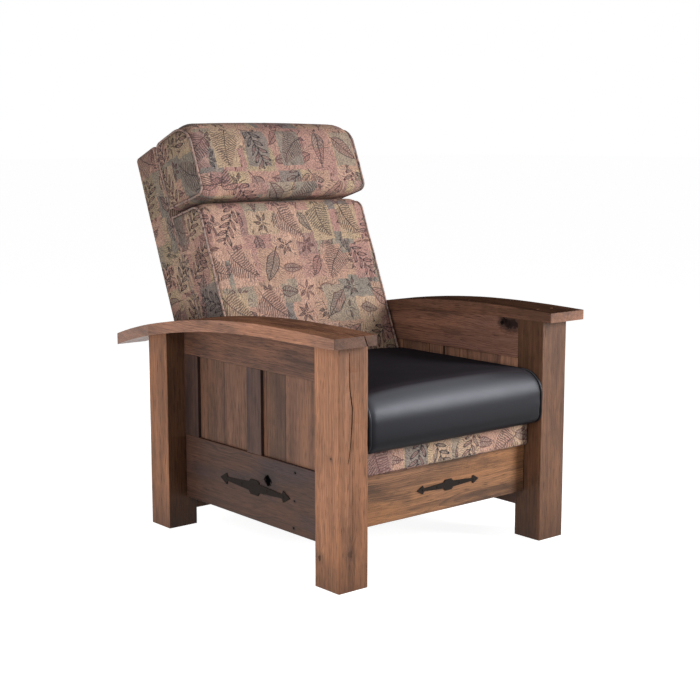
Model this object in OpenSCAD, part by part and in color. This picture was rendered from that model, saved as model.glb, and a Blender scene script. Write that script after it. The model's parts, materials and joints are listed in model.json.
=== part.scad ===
// Reclining wooden armchair: bowed arms on square posts, panelled sides, loose-looking cushions on a
// sprung seat and an upholstered back, and a footrest that folds out from under the seat.
// X runs across the chair, the front faces -Y, Z is up. Left is the side at -X.
// Places along the chair are given from the front faces of the front posts.

/* [Posts and arms] */
// Width over the outside of the posts
frame_w = 771; // [740:1:820]
// Depth over the posts, front to back
frame_d = 812; // [800:1:840]
// Side of a square post
post = 89; // [80:1:92]
// Eased edge of the posts, arms and boards
ease = 2.5; // [1:0.5:4]
// Width of an arm
arm_w = 127.5; // [110:0.5:140]
// Thickness of an arm
arm_t = 30; // [22:1:34]
// Height of the arm's top face at its highest point
arm_top = 611; // [590:1:640]
// Radius of the arm's bow behind its highest point
arm_bow = 2900; // [2400:10:5000]
// Radius of the arm's flatter top face before its highest point
arm_bow_front = 5900; // [4000:50:8000]
// Distance of the bow's highest point behind the front
arm_apex = 215; // [150:1:320]
// Overhang of the arm in front of the post
arm_front = 28; // [15:1:45]
// Overhang of the arm behind the rear post
arm_rear = 166; // [100:1:180]
// Overhang of the arm inside the post
arm_lip = 3; // [1:0.5:6]
// Narrowing of the arm at its rear end
arm_taper = 36; // [20:1:50]
// Length of the arm's straight taper in front of the rear post's back face
arm_taper_lead = 57; // [40:1:80]
// Radius of the wooden plugs over the arm's screws
plug_r = 4.5; // [3:0.5:6]

/* [Side panels] */
// Thickness of the side rails, stiles and mullions
rail_t = 28; // [24:1:32]
// Setback of the side frame's inner face from the post's inner face
rail_inset = 5; // [3:0.5:8]
// Height of the lower side rail above the floor
lower_rail_z = 81; // [70:1:100]
// Width of the lower side rail's board
lower_rail_h = 175; // [160:1:190]
// Height of the upper side rail's lower edge
upper_rail_z = 476; // [450:1:500]
// Width of the stiles beside the posts
stile_w = 64; // [50:1:80]
// Width of the mullion between the two panels
mullion_w = 60; // [45:1:80]
// Thickness of a side panel
panel_t = 12; // [8:1:14]
// Recess of a panel behind the rails' outer faces
panel_sink = 9; // [5:1:12]
// Depth of the groove that holds a panel's edge
groove = 8; // [5:1:10]
// Length of the tenons on the rails' ends
tenon = 25; // [15:1:35]
// Height of the rear rail above the floor
rear_rail_z = 35; // [30:1:60]
// Width of the rear rail's board
rear_rail_h = 140; // [100:1:150]
// Thickness of the rear rail
rear_rail_t = 28; // [22:1:32]

/* [Iron straps] */
// Thickness of the strap iron
strap_t = 2.5; // [1.5:0.1:3]
// Length of the strap on the front board
front_strap_l = 214; // [180:1:240]
// Length of the straps on the side rails
side_strap_l = 300; // [260:1:320]
// Distance of the front strap's middle to the right of the board's middle
strap_shift = 16; // [0:1:24]
// Radius of the nail heads in the front strap
nail_r = 3.2; // [2:0.1:4]

/* [Seat] */
// Height of the seat frame's lower edge
seat_rail_z = 253; // [250:1:258]
// Height of the seat frame's rails
seat_rail_h = 60; // [45:1:64]
// Setback of the upholstered front rail
seat_front = 43; // [38:1:48]
// Thickness of the seat frame's rails
seat_rail_t = 23; // [18:1:28]
// Distance from the seat frame's rear end to the back's pivot
seat_to_pivot = 107; // [104:1:125]
// Gap between the moving seat or footrest and the posts
side_gap = 3; // [2:0.5:4]
// Thickness of the seat cushion at its edges
seat_cushion_t = 143; // [130:1:160]
// Crown of the seat cushion
seat_crown = 12; // [5:1:16]
// Distance the seat cushion bulges in front of the posts
seat_bulge = 6; // [0:1:12]
// Number of zigzag seat springs
spring_n = 5; // [4:1:6]
// Diameter of the spring wire
spring_wire = 4; // [3:0.5:5]
// Thickness of the cloth over the springs
deck_t = 1.5; // [1:0.5:2]

/* [Back] */
// Slope of the back from upright, at rest
recline = 22; // [18:0.5:26]
// Distance of the back's pivot before the rear posts' rear faces
back_inset = 122; // [112:1:130]
// Height of the back's pivot
back_pivot_z = 300; // [290:1:310]
// Length of the back frame above its pivot
back_above = 763; // [700:1:800]
// Length of the back frame below its pivot
back_below = 40; // [30:1:45]
// Distance of the back frame's rear face behind the pivot
back_rear = 48; // [40:1:52]
// Distance of the back frame's front face before the pivot, above the back cushion
back_thin = 52; // [46:1:58]
// Distance of the back frame's front face before the pivot, at its lower end
back_thick = 92; // [80:1:95]
// Distance of the back cushion's front before the pivot
back_front = 198; // [185:1:205]
// Height of the back cushion's lower edge along the back
back_cushion_low = 20; // [10:1:30]
// Height of the back cushion's top along the back
back_cushion_high = 552; // [520:1:570]
// Crown of the back cushion
back_crown = 8; // [4:1:14]
// Length of the head pillow along the back
pillow_l = 224; // [200:1:250]
// Thickness of the head pillow
pillow_t = 180; // [150:1:190]

/* [Footrest] */
// Setback of the footrest's front board
board_front = 56; // [52:1:60]
// Thickness of the footrest's front board
board_t = 22; // [18:1:24]
// Height of the board's lower edge above the floor
board_z = 125; // [115:1:135]
// Gap between the board and the seat's front rail
board_gap = 2; // [1.5:0.5:4]
// Thickness of the footrest's pad
foot_pad_t = 38; // [25:1:45]

/* [Mechanism] */
// Thickness of the plates and links
plate_t = 3; // [2.5:0.5:4]
// Side clearance between plates that pass each other
mech_gap = 1.25; // [1:0.25:1.5]
// Width of a link
link_w = 24; // [18:1:26]
// Radius of the pivot studs
stud_r = 5; // [4:0.5:6]
// Radial clearance of a stud in its hole
fit = 0.05; // [0.02:0.01:0.09]
// Length of the swing links that carry the seat
swing_l = 100; // [90:1:110]
// Backward lean of the swing links at rest
swing_lean = 22; // [18:0.5:24]
// Distance of the rear swing link's foot before the back's pivot
swing_inset = 90; // [80:1:100]
// Distance between the front and rear swing links
swing_pitch = 170; // [150:1:180]
// Height of the swing links' feet
swing_z = 130; // [120:1:135]
// Distance of the footrest links' first pivot behind the front
foot_pivot_y = 195; // [190:1:205]
// Height of the footrest links' first pivot
foot_pivot_z = 236; // [230:1:238]
// Length of the footrest's rear link
foot_link_a = 165; // [150:1:170]
// Length of the footrest's front link
foot_link_b = 235; // [230:1:245]
// Lean of the rear link at rest, down from straight back
foot_lean_a = 30; // [25:0.5:35]
// Lean of the front link at rest, down from straight forward
foot_lean_b = 4; // [3:0.5:6]

/* [Hidden] */

wood = "#7a5238";
wood_dark = "#5d3d2c";
fabric = "#9a7f68";
leather = "#1f1f22";
iron = "#1b1a19";
steel = "#70757a";

// Faces and layers across the chair, from the outside in
half_w = frame_w / 2;
post_in = half_w - post;
rail_in = post_in + rail_inset;
rail_out = rail_in + rail_t;
base_x = rail_in - plate_t;
swing_x = base_x - mech_gap - plate_t;
seat_x = swing_x - mech_gap - plate_t;
link_a_x = seat_x - mech_gap - plate_t;
link_b_x = link_a_x - mech_gap - plate_t;
stud_proud = 0.4;
eye_step = 0.5;
soft_gap = 0.3;

// Arms
arm_in = post_in - arm_lip;
arm_out = arm_in + arm_w;
arm_end = frame_d + arm_rear;
arm_cz = arm_top - arm_bow;
bow_fn = 720;
function bow_z(y, r) = arm_top - r + sqrt(pow(r, 2) - pow(y - arm_apex, 2));
function arm_z(y) = bow_z(y, y < arm_apex ? arm_bow_front : arm_bow);

// Side frames
lower_rail_top = lower_rail_z + lower_rail_h;
side_front = post;
side_rear = frame_d - post;
side_mid = frame_d / 2;
panel_out = rail_out - panel_sink;
bevel = 3;

// Seat
seat_top = seat_rail_z + seat_rail_h;
back_pivot_y = frame_d - back_inset;
seat_frame_end = back_pivot_y - seat_to_pivot;
seat_frame_l = seat_frame_end - seat_front;
swing_front = back_pivot_y - swing_inset - swing_pitch;
cushion_z = seat_top + deck_t + soft_gap;
seat_belly = 3;
seat_half = post_in - soft_gap - 1.2 - seat_belly;

seat_corner_r = 9;
seat_edges = [15, 36, 12];
seat_under_edges = [12, 30, 12];

// Back, in its own upright frame with the pivot at the origin
function on_back(p) = [
    back_pivot_y + p[0] * cos(recline) + p[1] * sin(recline),
    back_pivot_z - p[0] * sin(recline) + p[1] * cos(recline)];
back_half = link_a_x - soft_gap;
pillow_belly = 2;
pillow_pull = -3;
pillow_corner_r = 32;
pillow_crown = 7;
pillow_edges = [16, 26, 74];
pillow_rear_edges = [12, 12, 20];
back_belly = 2;
back_pull = 2;
back_corner_r = 22;
back_edges = [13, 26, 42];
back_rear_edges = [8, 8, 8];
bracket_l = 150;
pillow_low = back_cushion_high + pillow_belly + back_belly + 2 * soft_gap;
cushion_corner = on_back([-back_front, back_cushion_low]);
cushion_gap = 10;

// Pivots of the mechanism in the YZ plane; an angle is measured up from straight forward
function along(p, l, a) = [p[0] - l * cos(a), p[1] + l * sin(a)];
swing_front_foot = [swing_front, swing_z];
swing_rear_foot = [swing_front + swing_pitch, swing_z];
swing_front_head = along(swing_front_foot, swing_l, 90 + swing_lean);
swing_rear_head = along(swing_rear_foot, swing_l, 90 + swing_lean);
back_pivot = [back_pivot_y, back_pivot_z];
foot_p1 = [foot_pivot_y, foot_pivot_z];
foot_p2 = along(foot_p1, foot_link_a, foot_lean_a - 180);
foot_p3 = along(foot_p2, foot_link_b, -foot_lean_b);
board_top = seat_rail_z - board_gap;
board_back = board_front + board_t;
board_half = post_in - side_gap;
cross_bar_r = 9;

// The origin is on the floor, under the middle of the chair's box
y_first = -arm_front;
y_last = max(arm_end, on_back([back_rear, back_above])[0]);
y_shift = -(y_first + y_last) / 2;
echo(pivots_mm = [for (p = [swing_front_foot, swing_rear_foot, swing_front_head, swing_rear_head,
    back_pivot, foot_p1, foot_p2, foot_p3]) [p[0] + y_shift, p[1]]]);
echo(y_shift = y_shift, foot_corner = [half_w - post / 2, post / 2 + y_shift]);

// Corner i of an outline, rounded by r with n chords
function rounded(pts, r, n = 3) = [for (i = [0:len(pts) - 1])
    let (p = pts[i], a = pts[(i + len(pts) - 1) % len(pts)] - p, b = pts[(i + 1) % len(pts)] - p,
         ua = a / norm(a), ub = b / norm(b), half = acos(ua * ub) / 2, reach = r / tan(half),
         s = p + ua * reach, e = p + ub * reach, m = p + (ua + ub) / norm(ua + ub) * r / sin(half),
         a0 = atan2(s[1] - m[1], s[0] - m[0]), turn = atan2(e[1] - m[1], e[0] - m[0]) - a0,
         sweep = turn > 180 ? turn - 360 : turn < -180 ? turn + 360 : turn)
    for (k = [0:n]) m + r * [cos(a0 + sweep * k / n), sin(a0 + sweep * k / n)]];
function box2(x0, y0, x1, y1) = [[x0, y0], [x1, y0], [x1, y1], [x0, y1]];

module place() { translate([0, y_shift, 0]) children(); }
module right_side() { place() children(); }
module left_side() { place() mirror([1, 0, 0]) children(); }
module both_sides() { right_side() children(); left_side() children(); }
// Stands a YZ outline up at x, thick towards +X
module slab(x, t) { translate([x, 0, 0]) rotate([90, 0, 90]) linear_extrude(t) children(); }
// An XZ outline, thick from the front face at y towards the back
module board_xz(y, t) { translate([0, y + t, 0]) rotate([90, 0, 0]) linear_extrude(t) children(); }
module disc(p, r) { translate(p) circle(r, $fn = 48); }
// A bar between two eyes that stand a little wider than it
module bar(p, q, w) {
    disc(p, w / 2);
    disc(q, w / 2);
    translate(p) rotate(atan2(q[1] - p[1], q[0] - p[0]))
        translate([0, -w / 2 + eye_step]) square([norm(q - p), w - 2 * eye_step]);
}
module stud(p, x0, x1, r = stud_r) {
    translate([x0, p[0], p[1]]) rotate([0, 90, 0]) cylinder(h = x1 - x0, r = r, $fn = 48);
}
module dome(r, h) {
    ball = (r * r + h * h) / (2 * h);
    intersection() {
        translate([0, 0, h - ball]) sphere(ball, $fn = 144);
        translate([-r, -r, 0]) cube([2 * r, 2 * r, h]);
    }
}
// The region before or behind the bow's highest point, as a YZ outline
module before_apex() { translate([arm_apex - frame_d, 0]) square([frame_d, 2 * arm_top]); }
module behind_apex() { translate([arm_apex, 0]) square([2 * frame_d, 2 * arm_top]); }
module under_arm_outline() {
    translate([arm_apex - frame_d, 0]) square([frame_d, arm_top - arm_t]);
    intersection() {
        translate([arm_apex, arm_cz]) circle(arm_bow - arm_t, $fn = bow_fn);
        behind_apex();
    }
}
module under_arm_top_outline() {
    intersection() {
        translate([arm_apex, arm_top - arm_bow_front]) circle(arm_bow_front, $fn = bow_fn);
        before_apex();
    }
    intersection() {
        translate([arm_apex, arm_cz]) circle(arm_bow, $fn = bow_fn);
        behind_apex();
    }
}

// Ring of points round a cushion's outline, each with its outward direction
side_steps = 6;
corner_steps = 3;
function cushion_outline(a, b, r) = [for (q = [0:3])
    let (sx = q < 2 ? 1 : -1, sy = q == 1 || q == 2 ? 1 : -1, nq = (q + 1) % 4,
         tx = nq < 2 ? 1 : -1, ty = nq == 1 || nq == 2 ? 1 : -1,
         c = [sx * (a - r), sy * (b - r)], d = [tx * (a - r), ty * (b - r)],
         n = [cos(90 * q), sin(90 * q)])
    each concat(
        [for (j = [0:corner_steps]) let (t = 90 * (q - 1 + j / corner_steps))
            [c + r * [cos(t), sin(t)], [cos(t), sin(t)], 0]],
        [for (j = [1:side_steps - 1]) let (f = j / side_steps)
            [c + (d - c) * f + r * n, n, sin(180 * f)]])];

// Closed skin of a cushion: width, length and thickness, with its back face down at z = 0.
// edge and back_edge hold the radius of the front and back edges at the sides, near and far end.
edge_steps = 4;
rim_steps = 3;
face_steps = 5;
module cushion(size, r, edge, back_edge, crown, pull, belly, wedge = 0, lean = 0) {
    a = size[0] / 2;
    b = size[1] / 2;
    t = size[2];
    outline = cushion_outline(a, b, r);
    count = len(outline);
    function at_end(radii, y) = y < 0 ? radii[1] : radii[2];
    function edge_at(p, radii) = pow(p[1][0], 2) * radii[0] + pow(p[1][1], 2) * at_end(radii, p[0][1]);
    function moved(v) = let (z = v[2] + (1 - v[2] / t) * wedge * (v[1] + b) / size[1])
        [v[0], v[1] + lean * (z - t / 2) * max(0, v[1] / b), z];
    function inset(p, ex, ey, f, z) = [
        (p[0][0] - pull * p[2] * p[1][0]) * (1 - ex * f / a),
        (p[0][1] - pull * p[2] * p[1][1]) * (1 - ey * f / b), z];
    function front_edge(i) = [for (p = outline) let (f = 1 - cos(90 * i / edge_steps), e = edge_at(p, edge))
        inset(p, edge[0], at_end(edge, p[0][1]), f, t - e * (1 - sin(90 * i / edge_steps)))];
    function back_rim(i) = [for (p = outline) let (f = 1 - cos(90 * i / rim_steps), e = edge_at(p, back_edge))
        inset(p, back_edge[0], at_end(back_edge, p[0][1]), f, e * (1 - sin(90 * i / rim_steps)))];
    function middle() = [for (p = outline)
        let (v = inset(p, 0, 0, 0, (edge_at(p, back_edge) + t - edge_at(p, edge)) / 2))
        [v[0] + belly * p[1][0], v[1] + belly * p[1][1], v[2]]];
    function face(ring, i, rise) = let (s = 1 - i / face_steps)
        [for (v = ring) [v[0] * s, v[1] * s, v[2] + rise * (1 - s * s)]];
    rings = concat(
        [for (i = [face_steps - 1:-1:1]) face(back_rim(rim_steps), i, 0)],
        [for (i = [rim_steps:-1:0]) back_rim(i)],
        [middle()],
        [for (i = [0:edge_steps]) front_edge(i)],
        [for (i = [1:face_steps - 1]) face(front_edge(edge_steps), i, crown)]);
    last = len(rings) - 1;
    points = concat([for (ring = rings) for (v = ring) moved(v)],
        [moved([0, 0, 0]), moved([0, 0, t + crown])]);
    foot = len(points) - 2;
    polyhedron(points, concat(
        [for (i = [0:last - 1]) for (k = [0:count - 1]) let (m = (k + 1) % count, s = i * count)
            each [[s + k, s + count + k, s + m], [s + m, s + count + k, s + count + m]]],
        [for (k = [0:count - 1]) [foot, k, (k + 1) % count]],
        [for (k = [0:count - 1]) [foot + 1, last * count + (k + 1) % count, last * count + k]]));
}

// Posts: square, eased, their tops cut to the arm's underside, mortised for the rails
module post_body(y) {
    difference() {
        intersection() {
            translate([0, y, 0]) linear_extrude(arm_top)
                polygon(rounded(box2(post_in, 0, half_w, post), ease));
            slab(0, frame_w) under_arm_outline();
        }
        children();
    }
}
module front_post() {
    color(wood) post_body(0) {
        rail_tenon(side_front - tenon, lower_rail_z, lower_rail_h);
        rail_tenon(side_front - tenon, upper_rail_z, upper_tenon_h);
    }
}
module rear_post() {
    color(wood) post_body(side_rear) {
        rail_tenon(side_rear, lower_rail_z, lower_rail_h);
        rail_tenon(side_rear, upper_rail_z, upper_tenon_h);
        rear_rail_shape();
    }
}
tenon_shoulder = 8;
upper_tenon_h = 50;
module rail_tenon(y, z, h) {
    translate([rail_in + tenon_shoulder, y, z + tenon_shoulder])
        cube([rail_t - 2 * tenon_shoulder, tenon, h - 2 * tenon_shoulder]);
}

// Arms: bowed boards, tapered behind the rear post
module arm() {
    taper_y = frame_d - arm_taper_lead;
    color(wood) intersection() {
        slab(arm_in, arm_w) difference() {
            under_arm_top_outline();
            under_arm_outline();
        }
        linear_extrude(arm_top + arm_t) polygon(rounded(
            [[arm_in, -arm_front], [arm_out, -arm_front], [arm_out, taper_y],
             [arm_out - arm_taper, arm_end], [arm_in, arm_end]], ease));
    }
}

// Wooden plugs over the screws that hold an arm to its posts and upper rail
plug_depth = 6;
plug_inner = post_in + 26;
plug_outer = half_w - 16;
plug_places = [[plug_inner, 45], [plug_outer, 39], [rail_out - 6, 296],
    [plug_inner, frame_d - 45], [plug_outer, frame_d - 52]];
module plug_set() {
    for (p = plug_places)
        translate([p[0], p[1], arm_z(p[1]) - plug_depth]) cylinder(h = plug_depth, r = plug_r, $fn = 32);
}
module arm_body() { difference() { arm(); plug_set(); } }
module arm_plugs() { color(wood_dark) both_sides() plug_set(); }

// Side frames: rails into the posts, stiles and a mullion between the rails, grooved for the panels
module panel_groove(y0, y1) {
    translate([panel_out - panel_t, y0 - groove, lower_rail_top - groove])
        cube([panel_t, y1 - y0 + 2 * groove, upper_rail_z - lower_rail_top + 2 * groove]);
}
module panel_grooves() {
    panel_groove(side_front + stile_w, side_mid - mullion_w / 2);
    panel_groove(side_mid + mullion_w / 2, side_rear - stile_w);
}
module side_board(y0, y1, z0, z1) {
    difference() {
        translate([rail_in, y0, z0]) cube([rail_t, y1 - y0, z1 - z0]);
        panel_grooves();
    }
}
module lower_rail() {
    color(wood_dark) {
        side_board(side_front, side_rear, lower_rail_z, lower_rail_top);
        rail_tenon(side_front - tenon, lower_rail_z, lower_rail_h);
        rail_tenon(side_rear, lower_rail_z, lower_rail_h);
    }
}
module upper_rail() {
    color(wood_dark) {
        intersection() {
            side_board(side_front, side_rear, upper_rail_z, arm_top);
            slab(0, frame_w) under_arm_outline();
        }
        rail_tenon(side_front - tenon, upper_rail_z, upper_tenon_h);
        rail_tenon(side_rear, upper_rail_z, upper_tenon_h);
    }
}
module front_stile() { color(wood_dark) side_board(side_front, side_front + stile_w, lower_rail_top, upper_rail_z); }
module rear_stile() { color(wood_dark) side_board(side_rear - stile_w, side_rear, lower_rail_top, upper_rail_z); }
module mullion() {
    color(wood_dark) side_board(side_mid - mullion_w / 2, side_mid + mullion_w / 2, lower_rail_top, upper_rail_z);
}
module front_panel() { color(wood) panel_groove(side_front + stile_w, side_mid - mullion_w / 2); }
module rear_panel() { color(wood) panel_groove(side_mid + mullion_w / 2, side_rear - stile_w); }

// Rear rail: tenoned into the rear posts, low behind the mechanism
rear_rail_y = side_rear + (post - rear_rail_t) / 2;
module rear_rail_shape() {
    translate([-post_in - tenon, rear_rail_y + tenon_shoulder, rear_rail_z + tenon_shoulder])
        cube([2 * (post_in + tenon), rear_rail_t - 2 * tenon_shoulder, rear_rail_h - 2 * tenon_shoulder]);
}
module rear_rail() {
    color(wood_dark) place() {
        rear_rail_shape();
        translate([-post_in, rear_rail_y, rear_rail_z]) cube([2 * post_in, rear_rail_t, rear_rail_h]);
    }
}

// Iron strap outline, along X: a stepped plate, two tapering arms and spear heads
module strap_outline(l) {
    k = l / 214;
    neck = 78 * k;
    for (s = [-1, 1]) scale([s, 1]) {
        polygon(rounded([[12 * k, -8 * k], [30 * k, -7 * k], [neck, -4 * k], [neck, 4 * k],
            [30 * k, 7 * k], [12 * k, 8 * k]], 0.8));
        polygon(rounded([[neck - 1 * k, -3.5 * k], [neck + 6 * k, -4.5 * k], [neck + 9 * k, -11 * k],
            [l / 2, 0], [neck + 9 * k, 11 * k], [neck + 6 * k, 4.5 * k], [neck - 1 * k, 3.5 * k]], 0.6));
    }
    polygon(rounded(box2(-15 * k, -11 * k, 15 * k, 11 * k), 1.2));
    polygon(rounded(box2(-12 * k, -14 * k, 12 * k, 14 * k), 1.2));
}
strap_nails = [-0.41, -0.18, 0.18, 0.41];
strap_mid_z = board_z + (board_top - board_z) / 2;
module front_strap() {
    color(iron) place() board_xz(board_front - strap_t, strap_t)
        translate([strap_shift, strap_mid_z]) strap_outline(front_strap_l);
}
module front_strap_nails() {
    color(iron) place() for (f = strap_nails)
        translate([strap_shift + f * front_strap_l, board_front - strap_t, strap_mid_z])
            rotate([90, 0, 0]) dome(nail_r, nail_r * 0.6);
}
side_strap_z = lower_rail_z + lower_rail_h / 2;
module side_strap() {
    color(iron) slab(rail_out, strap_t) translate([side_mid, side_strap_z]) strap_outline(side_strap_l);
}
module side_strap_nails() {
    color(iron) both_sides() for (f = strap_nails)
        translate([rail_out + strap_t, side_mid + f * side_strap_l, side_strap_z])
            rotate([0, 90, 0]) dome(nail_r * 1.3, nail_r * 0.7);
}

// Base of the mechanism: plates screwed to the lower side rails, joined by two tubes
base_reach = 26;
base_low = swing_z - 32;
base_high = swing_z + 16;
tube_size = 22;
tube_z = base_low + 4;
tube_wall = 2;
module base_plate() {
    color(steel) slab(base_x, plate_t) difference() {
        polygon(rounded(box2(swing_front_foot[0] - base_reach, base_low,
            swing_rear_foot[0] + base_reach + tube_size, base_high), 10, 4));
        bar(swing_front_foot + [68, -4], swing_rear_foot + [-40, -4], 14);
    }
}
screw_head_r = 5;
screw_head_h = 1;
base_screw_y = [swing_front_foot[0] - 14, swing_front_foot[0] + 20, swing_rear_foot[0] - 20,
    swing_rear_foot[0] + base_reach + 8];
module base_screws() {
    color(steel) both_sides() for (y = base_screw_y)
        translate([base_x, y, base_high - 8]) rotate([0, -90, 0])
            cylinder(h = screw_head_h, r1 = screw_head_r, r2 = screw_head_r * 0.7);
}
module base_tubes() {
    color(steel) place() for (y = [swing_front_foot[0] + 30, swing_rear_foot[0] + base_reach])
        translate([-base_x, y, tube_z]) difference() {
            cube([2 * base_x, tube_size, tube_size]);
            translate([-1, tube_wall, tube_wall])
                cube([2 * base_x + 2, tube_size - 2 * tube_wall, tube_size - 2 * tube_wall]);
        }
}
module base_studs() {
    color(steel) both_sides() for (p = [swing_front_foot, swing_rear_foot])
        stud(p, swing_x - stud_proud, base_x);
}

// Links: flat bars with an eye at each end
module link(x, p, q) {
    color(steel) both_sides() slab(x, plate_t) difference() {
        bar(p, q, link_w);
        disc(p, stud_r + fit);
        disc(q, stud_r + fit);
    }
}
module rear_swing_links() { link(swing_x, swing_rear_foot, swing_rear_head); }
module front_swing_links() { link(swing_x, swing_front_foot, swing_front_head); }

// Seat: steel side plates, wooden rails, springs, deck and cushion
plate_low = swing_front_head[1] + 6;
plate_high = seat_top - 6;
plate_front = foot_p1[0] - link_w / 2 - 2;
plate_rear = seat_frame_end + 40;
ear = link_w + 6;
slot_l = 60;
slot_w = 12;
module plate_slot(y) { bar([y - slot_l / 2, plate_low + 13], [y + slot_l / 2, plate_low + 13], slot_w); }
module seat_plate() {
    color(steel) slab(seat_x, plate_t) difference() {
        union() {
            polygon(rounded(box2(plate_front, plate_low, plate_rear, plate_high), 8, 4));
            bar(foot_p1, foot_p1 + [slot_l, 10], ear);
            bar(swing_front_head, swing_front_head + [0, 20], ear);
            bar(swing_rear_head, swing_rear_head + [0, 20], ear);
            bar([seat_frame_end, plate_high - ear], back_pivot, ear);
        }
        plate_slot((foot_p1[0] + swing_front_head[0]) / 2);
        plate_slot((swing_front_head[0] + swing_rear_head[0]) / 2);
    }
}
module seat_studs() {
    color(steel) both_sides() {
        for (p = [swing_front_head, swing_rear_head]) stud(p, seat_x + plate_t, swing_x + plate_t + stud_proud);
        stud(foot_p1, link_a_x - stud_proud, seat_x);
        stud(back_pivot, back_half + soft_gap / 2, seat_x);
    }
}
module seat_side_rail() {
    color(wood) translate([seat_x - seat_rail_t, seat_front + seat_rail_t, seat_rail_z])
        cube([seat_rail_t, seat_frame_l - seat_rail_t, seat_rail_h]);
}
module seat_rear_rail() {
    color(wood) place() translate([-seat_x + seat_rail_t, seat_frame_end - seat_rail_t, seat_rail_z])
        cube([2 * (seat_x - seat_rail_t), seat_rail_t, seat_rail_h]);
}
// Upholstered front rail: padded, rounded over along its top and lower edges
module seat_front_rail() {
    half = post_in - side_gap - 0.5;
    color(fabric) place() slab(-half, 2 * half)
        polygon(rounded(box2(seat_front, seat_rail_z, seat_front + seat_rail_t, seat_top), 7, 5));
}
// Zigzag springs between the front and rear rails
spring_pitch = 24;
spring_reach = 17;
spring_from = seat_front + seat_rail_t;
spring_to = seat_frame_end - seat_rail_t;
spring_turns = floor((spring_to - spring_from) / spring_pitch);
module spring_outline() {
    step = (spring_to - spring_from - spring_wire) / spring_turns;
    for (i = [0:spring_turns]) translate([-spring_reach, i * step]) square([2 * spring_reach, spring_wire]);
    for (i = [0:spring_turns - 1]) scale([i % 2 == 0 ? 1 : -1, 1])
        translate([spring_reach, i * step + (step + spring_wire) / 2]) intersection() {
            difference() {
                circle((step + spring_wire) / 2, $fn = 32);
                circle((step - spring_wire) / 2, $fn = 32);
            }
            translate([0, -step]) square([step, 2 * step]);
        }
}
module seat_springs() {
    span = 2 * (seat_x - seat_rail_t);
    color(steel) place() for (i = [0:spring_n - 1])
        translate([-span / 2 + span * (i + 0.5) / spring_n, spring_from, seat_top - spring_wire])
            linear_extrude(spring_wire) spring_outline();
}
module seat_deck() {
    color(iron) place() translate([-seat_x, seat_front + 10, seat_top])
        cube([2 * seat_x, seat_frame_l - 10, deck_t]);
}
// Seat cushion: crowned box cushion with a rolled front edge, its rear end sloped like the back
seat_cushion_rear = cushion_corner[0] - cushion_gap
    - (cushion_corner[1] - cushion_z - seat_cushion_t / 2) * tan(recline);
module seat_cushion() {
    depth = seat_cushion_rear + seat_bulge;
    color(leather) place() translate([0, depth / 2 - seat_bulge, cushion_z])
        cushion([2 * seat_half, depth, seat_cushion_t], seat_corner_r, seat_edges, seat_under_edges,
            seat_crown, 0, seat_belly, lean = tan(recline));
}

// Back: upholstered frame, brackets, cushion and head pillow
module back_place() { place() translate([0, back_pivot_y, back_pivot_z]) rotate([-recline, 0, 0]) children(); }
module back_frame() {
    color(fabric) back_place() slab(-back_half, 2 * back_half) polygon(rounded(
        [[back_rear, -back_below], [back_rear, back_above], [-back_thin, back_above],
         [-back_thin, back_cushion_high], [-back_thick, back_cushion_low],
         [-back_thick, -back_below]], 6, 3));
}
// Brackets screwed to the frame's sides, hung on the seat plates' rear studs
module back_bracket() {
    color(steel) translate([0, back_pivot_y, back_pivot_z]) rotate([-recline, 0, 0])
        slab(link_a_x, plate_t) difference() {
            union() {
                disc([0, 0], link_w / 2 + 3);
                polygon(rounded(box2(-link_w / 2, -2, link_w / 2, bracket_l), 6, 4));
            }
            disc([0, 0], stud_r + fit);
        }
}
module back_cushion() {
    high = back_cushion_high - back_cushion_low;
    thin = back_front - back_thick - soft_gap;
    color(fabric) back_place() translate([0, -back_thick - soft_gap, (back_cushion_high + back_cushion_low) / 2])
        rotate([90, 0, 0]) cushion([2 * (back_half - back_belly), high, thin], back_corner_r, back_edges,
            back_rear_edges, back_crown, back_pull, back_belly, wedge = back_thin - back_thick);
}
module head_pillow() {
    color(fabric) back_place() translate([0, -back_thin - soft_gap, pillow_low + pillow_l / 2])
        rotate([90, 0, 0]) cushion([2 * back_half, pillow_l, pillow_t], pillow_corner_r, pillow_edges,
            pillow_rear_edges, pillow_crown, pillow_pull, pillow_belly);
}

// Footrest: links, cross bar, brackets, board and pad
module foot_rear_links() {
    color(steel) both_sides() slab(link_a_x, plate_t) difference() {
        bar(foot_p1, foot_p2, link_w);
        disc(foot_p1, stud_r + fit);
    }
}
module foot_front_links() { link(link_b_x, foot_p2, foot_p3); }
module foot_link_studs() { color(steel) both_sides() stud(foot_p2, link_b_x - stud_proud, link_a_x); }
module foot_cross_bar() {
    x = link_b_x - stud_proud;
    color(steel) place() stud(foot_p2, -x, x, cross_bar_r);
}
flange = 26;
flange_h = 36;
module foot_bracket() {
    color(steel) {
        slab(link_a_x, plate_t) union() {
            disc(foot_p3, link_w / 2);
            polygon(box2(board_back, board_z + 1, foot_p3[0], foot_p3[1] + link_w / 2 - eye_step));
        }
        translate([link_a_x - flange, board_back, board_z + 1]) cube([flange + plate_t, plate_t, flange_h]);
    }
}
module foot_studs() { color(steel) both_sides() stud(foot_p3, link_b_x - stud_proud, link_a_x); }
module foot_board() {
    color(wood) place() board_xz(board_front, board_t)
        polygon(box2(-board_half, board_z, board_half, board_top));
}
module foot_pad() {
    half = link_a_x - flange - 2;
    high = board_top - board_z - 8;
    color(fabric) place() translate([0, board_back + soft_gap, (board_top + board_z) / 2])
        rotate([-90, 0, 0]) foot_pad_body(half, high);
}
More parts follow.
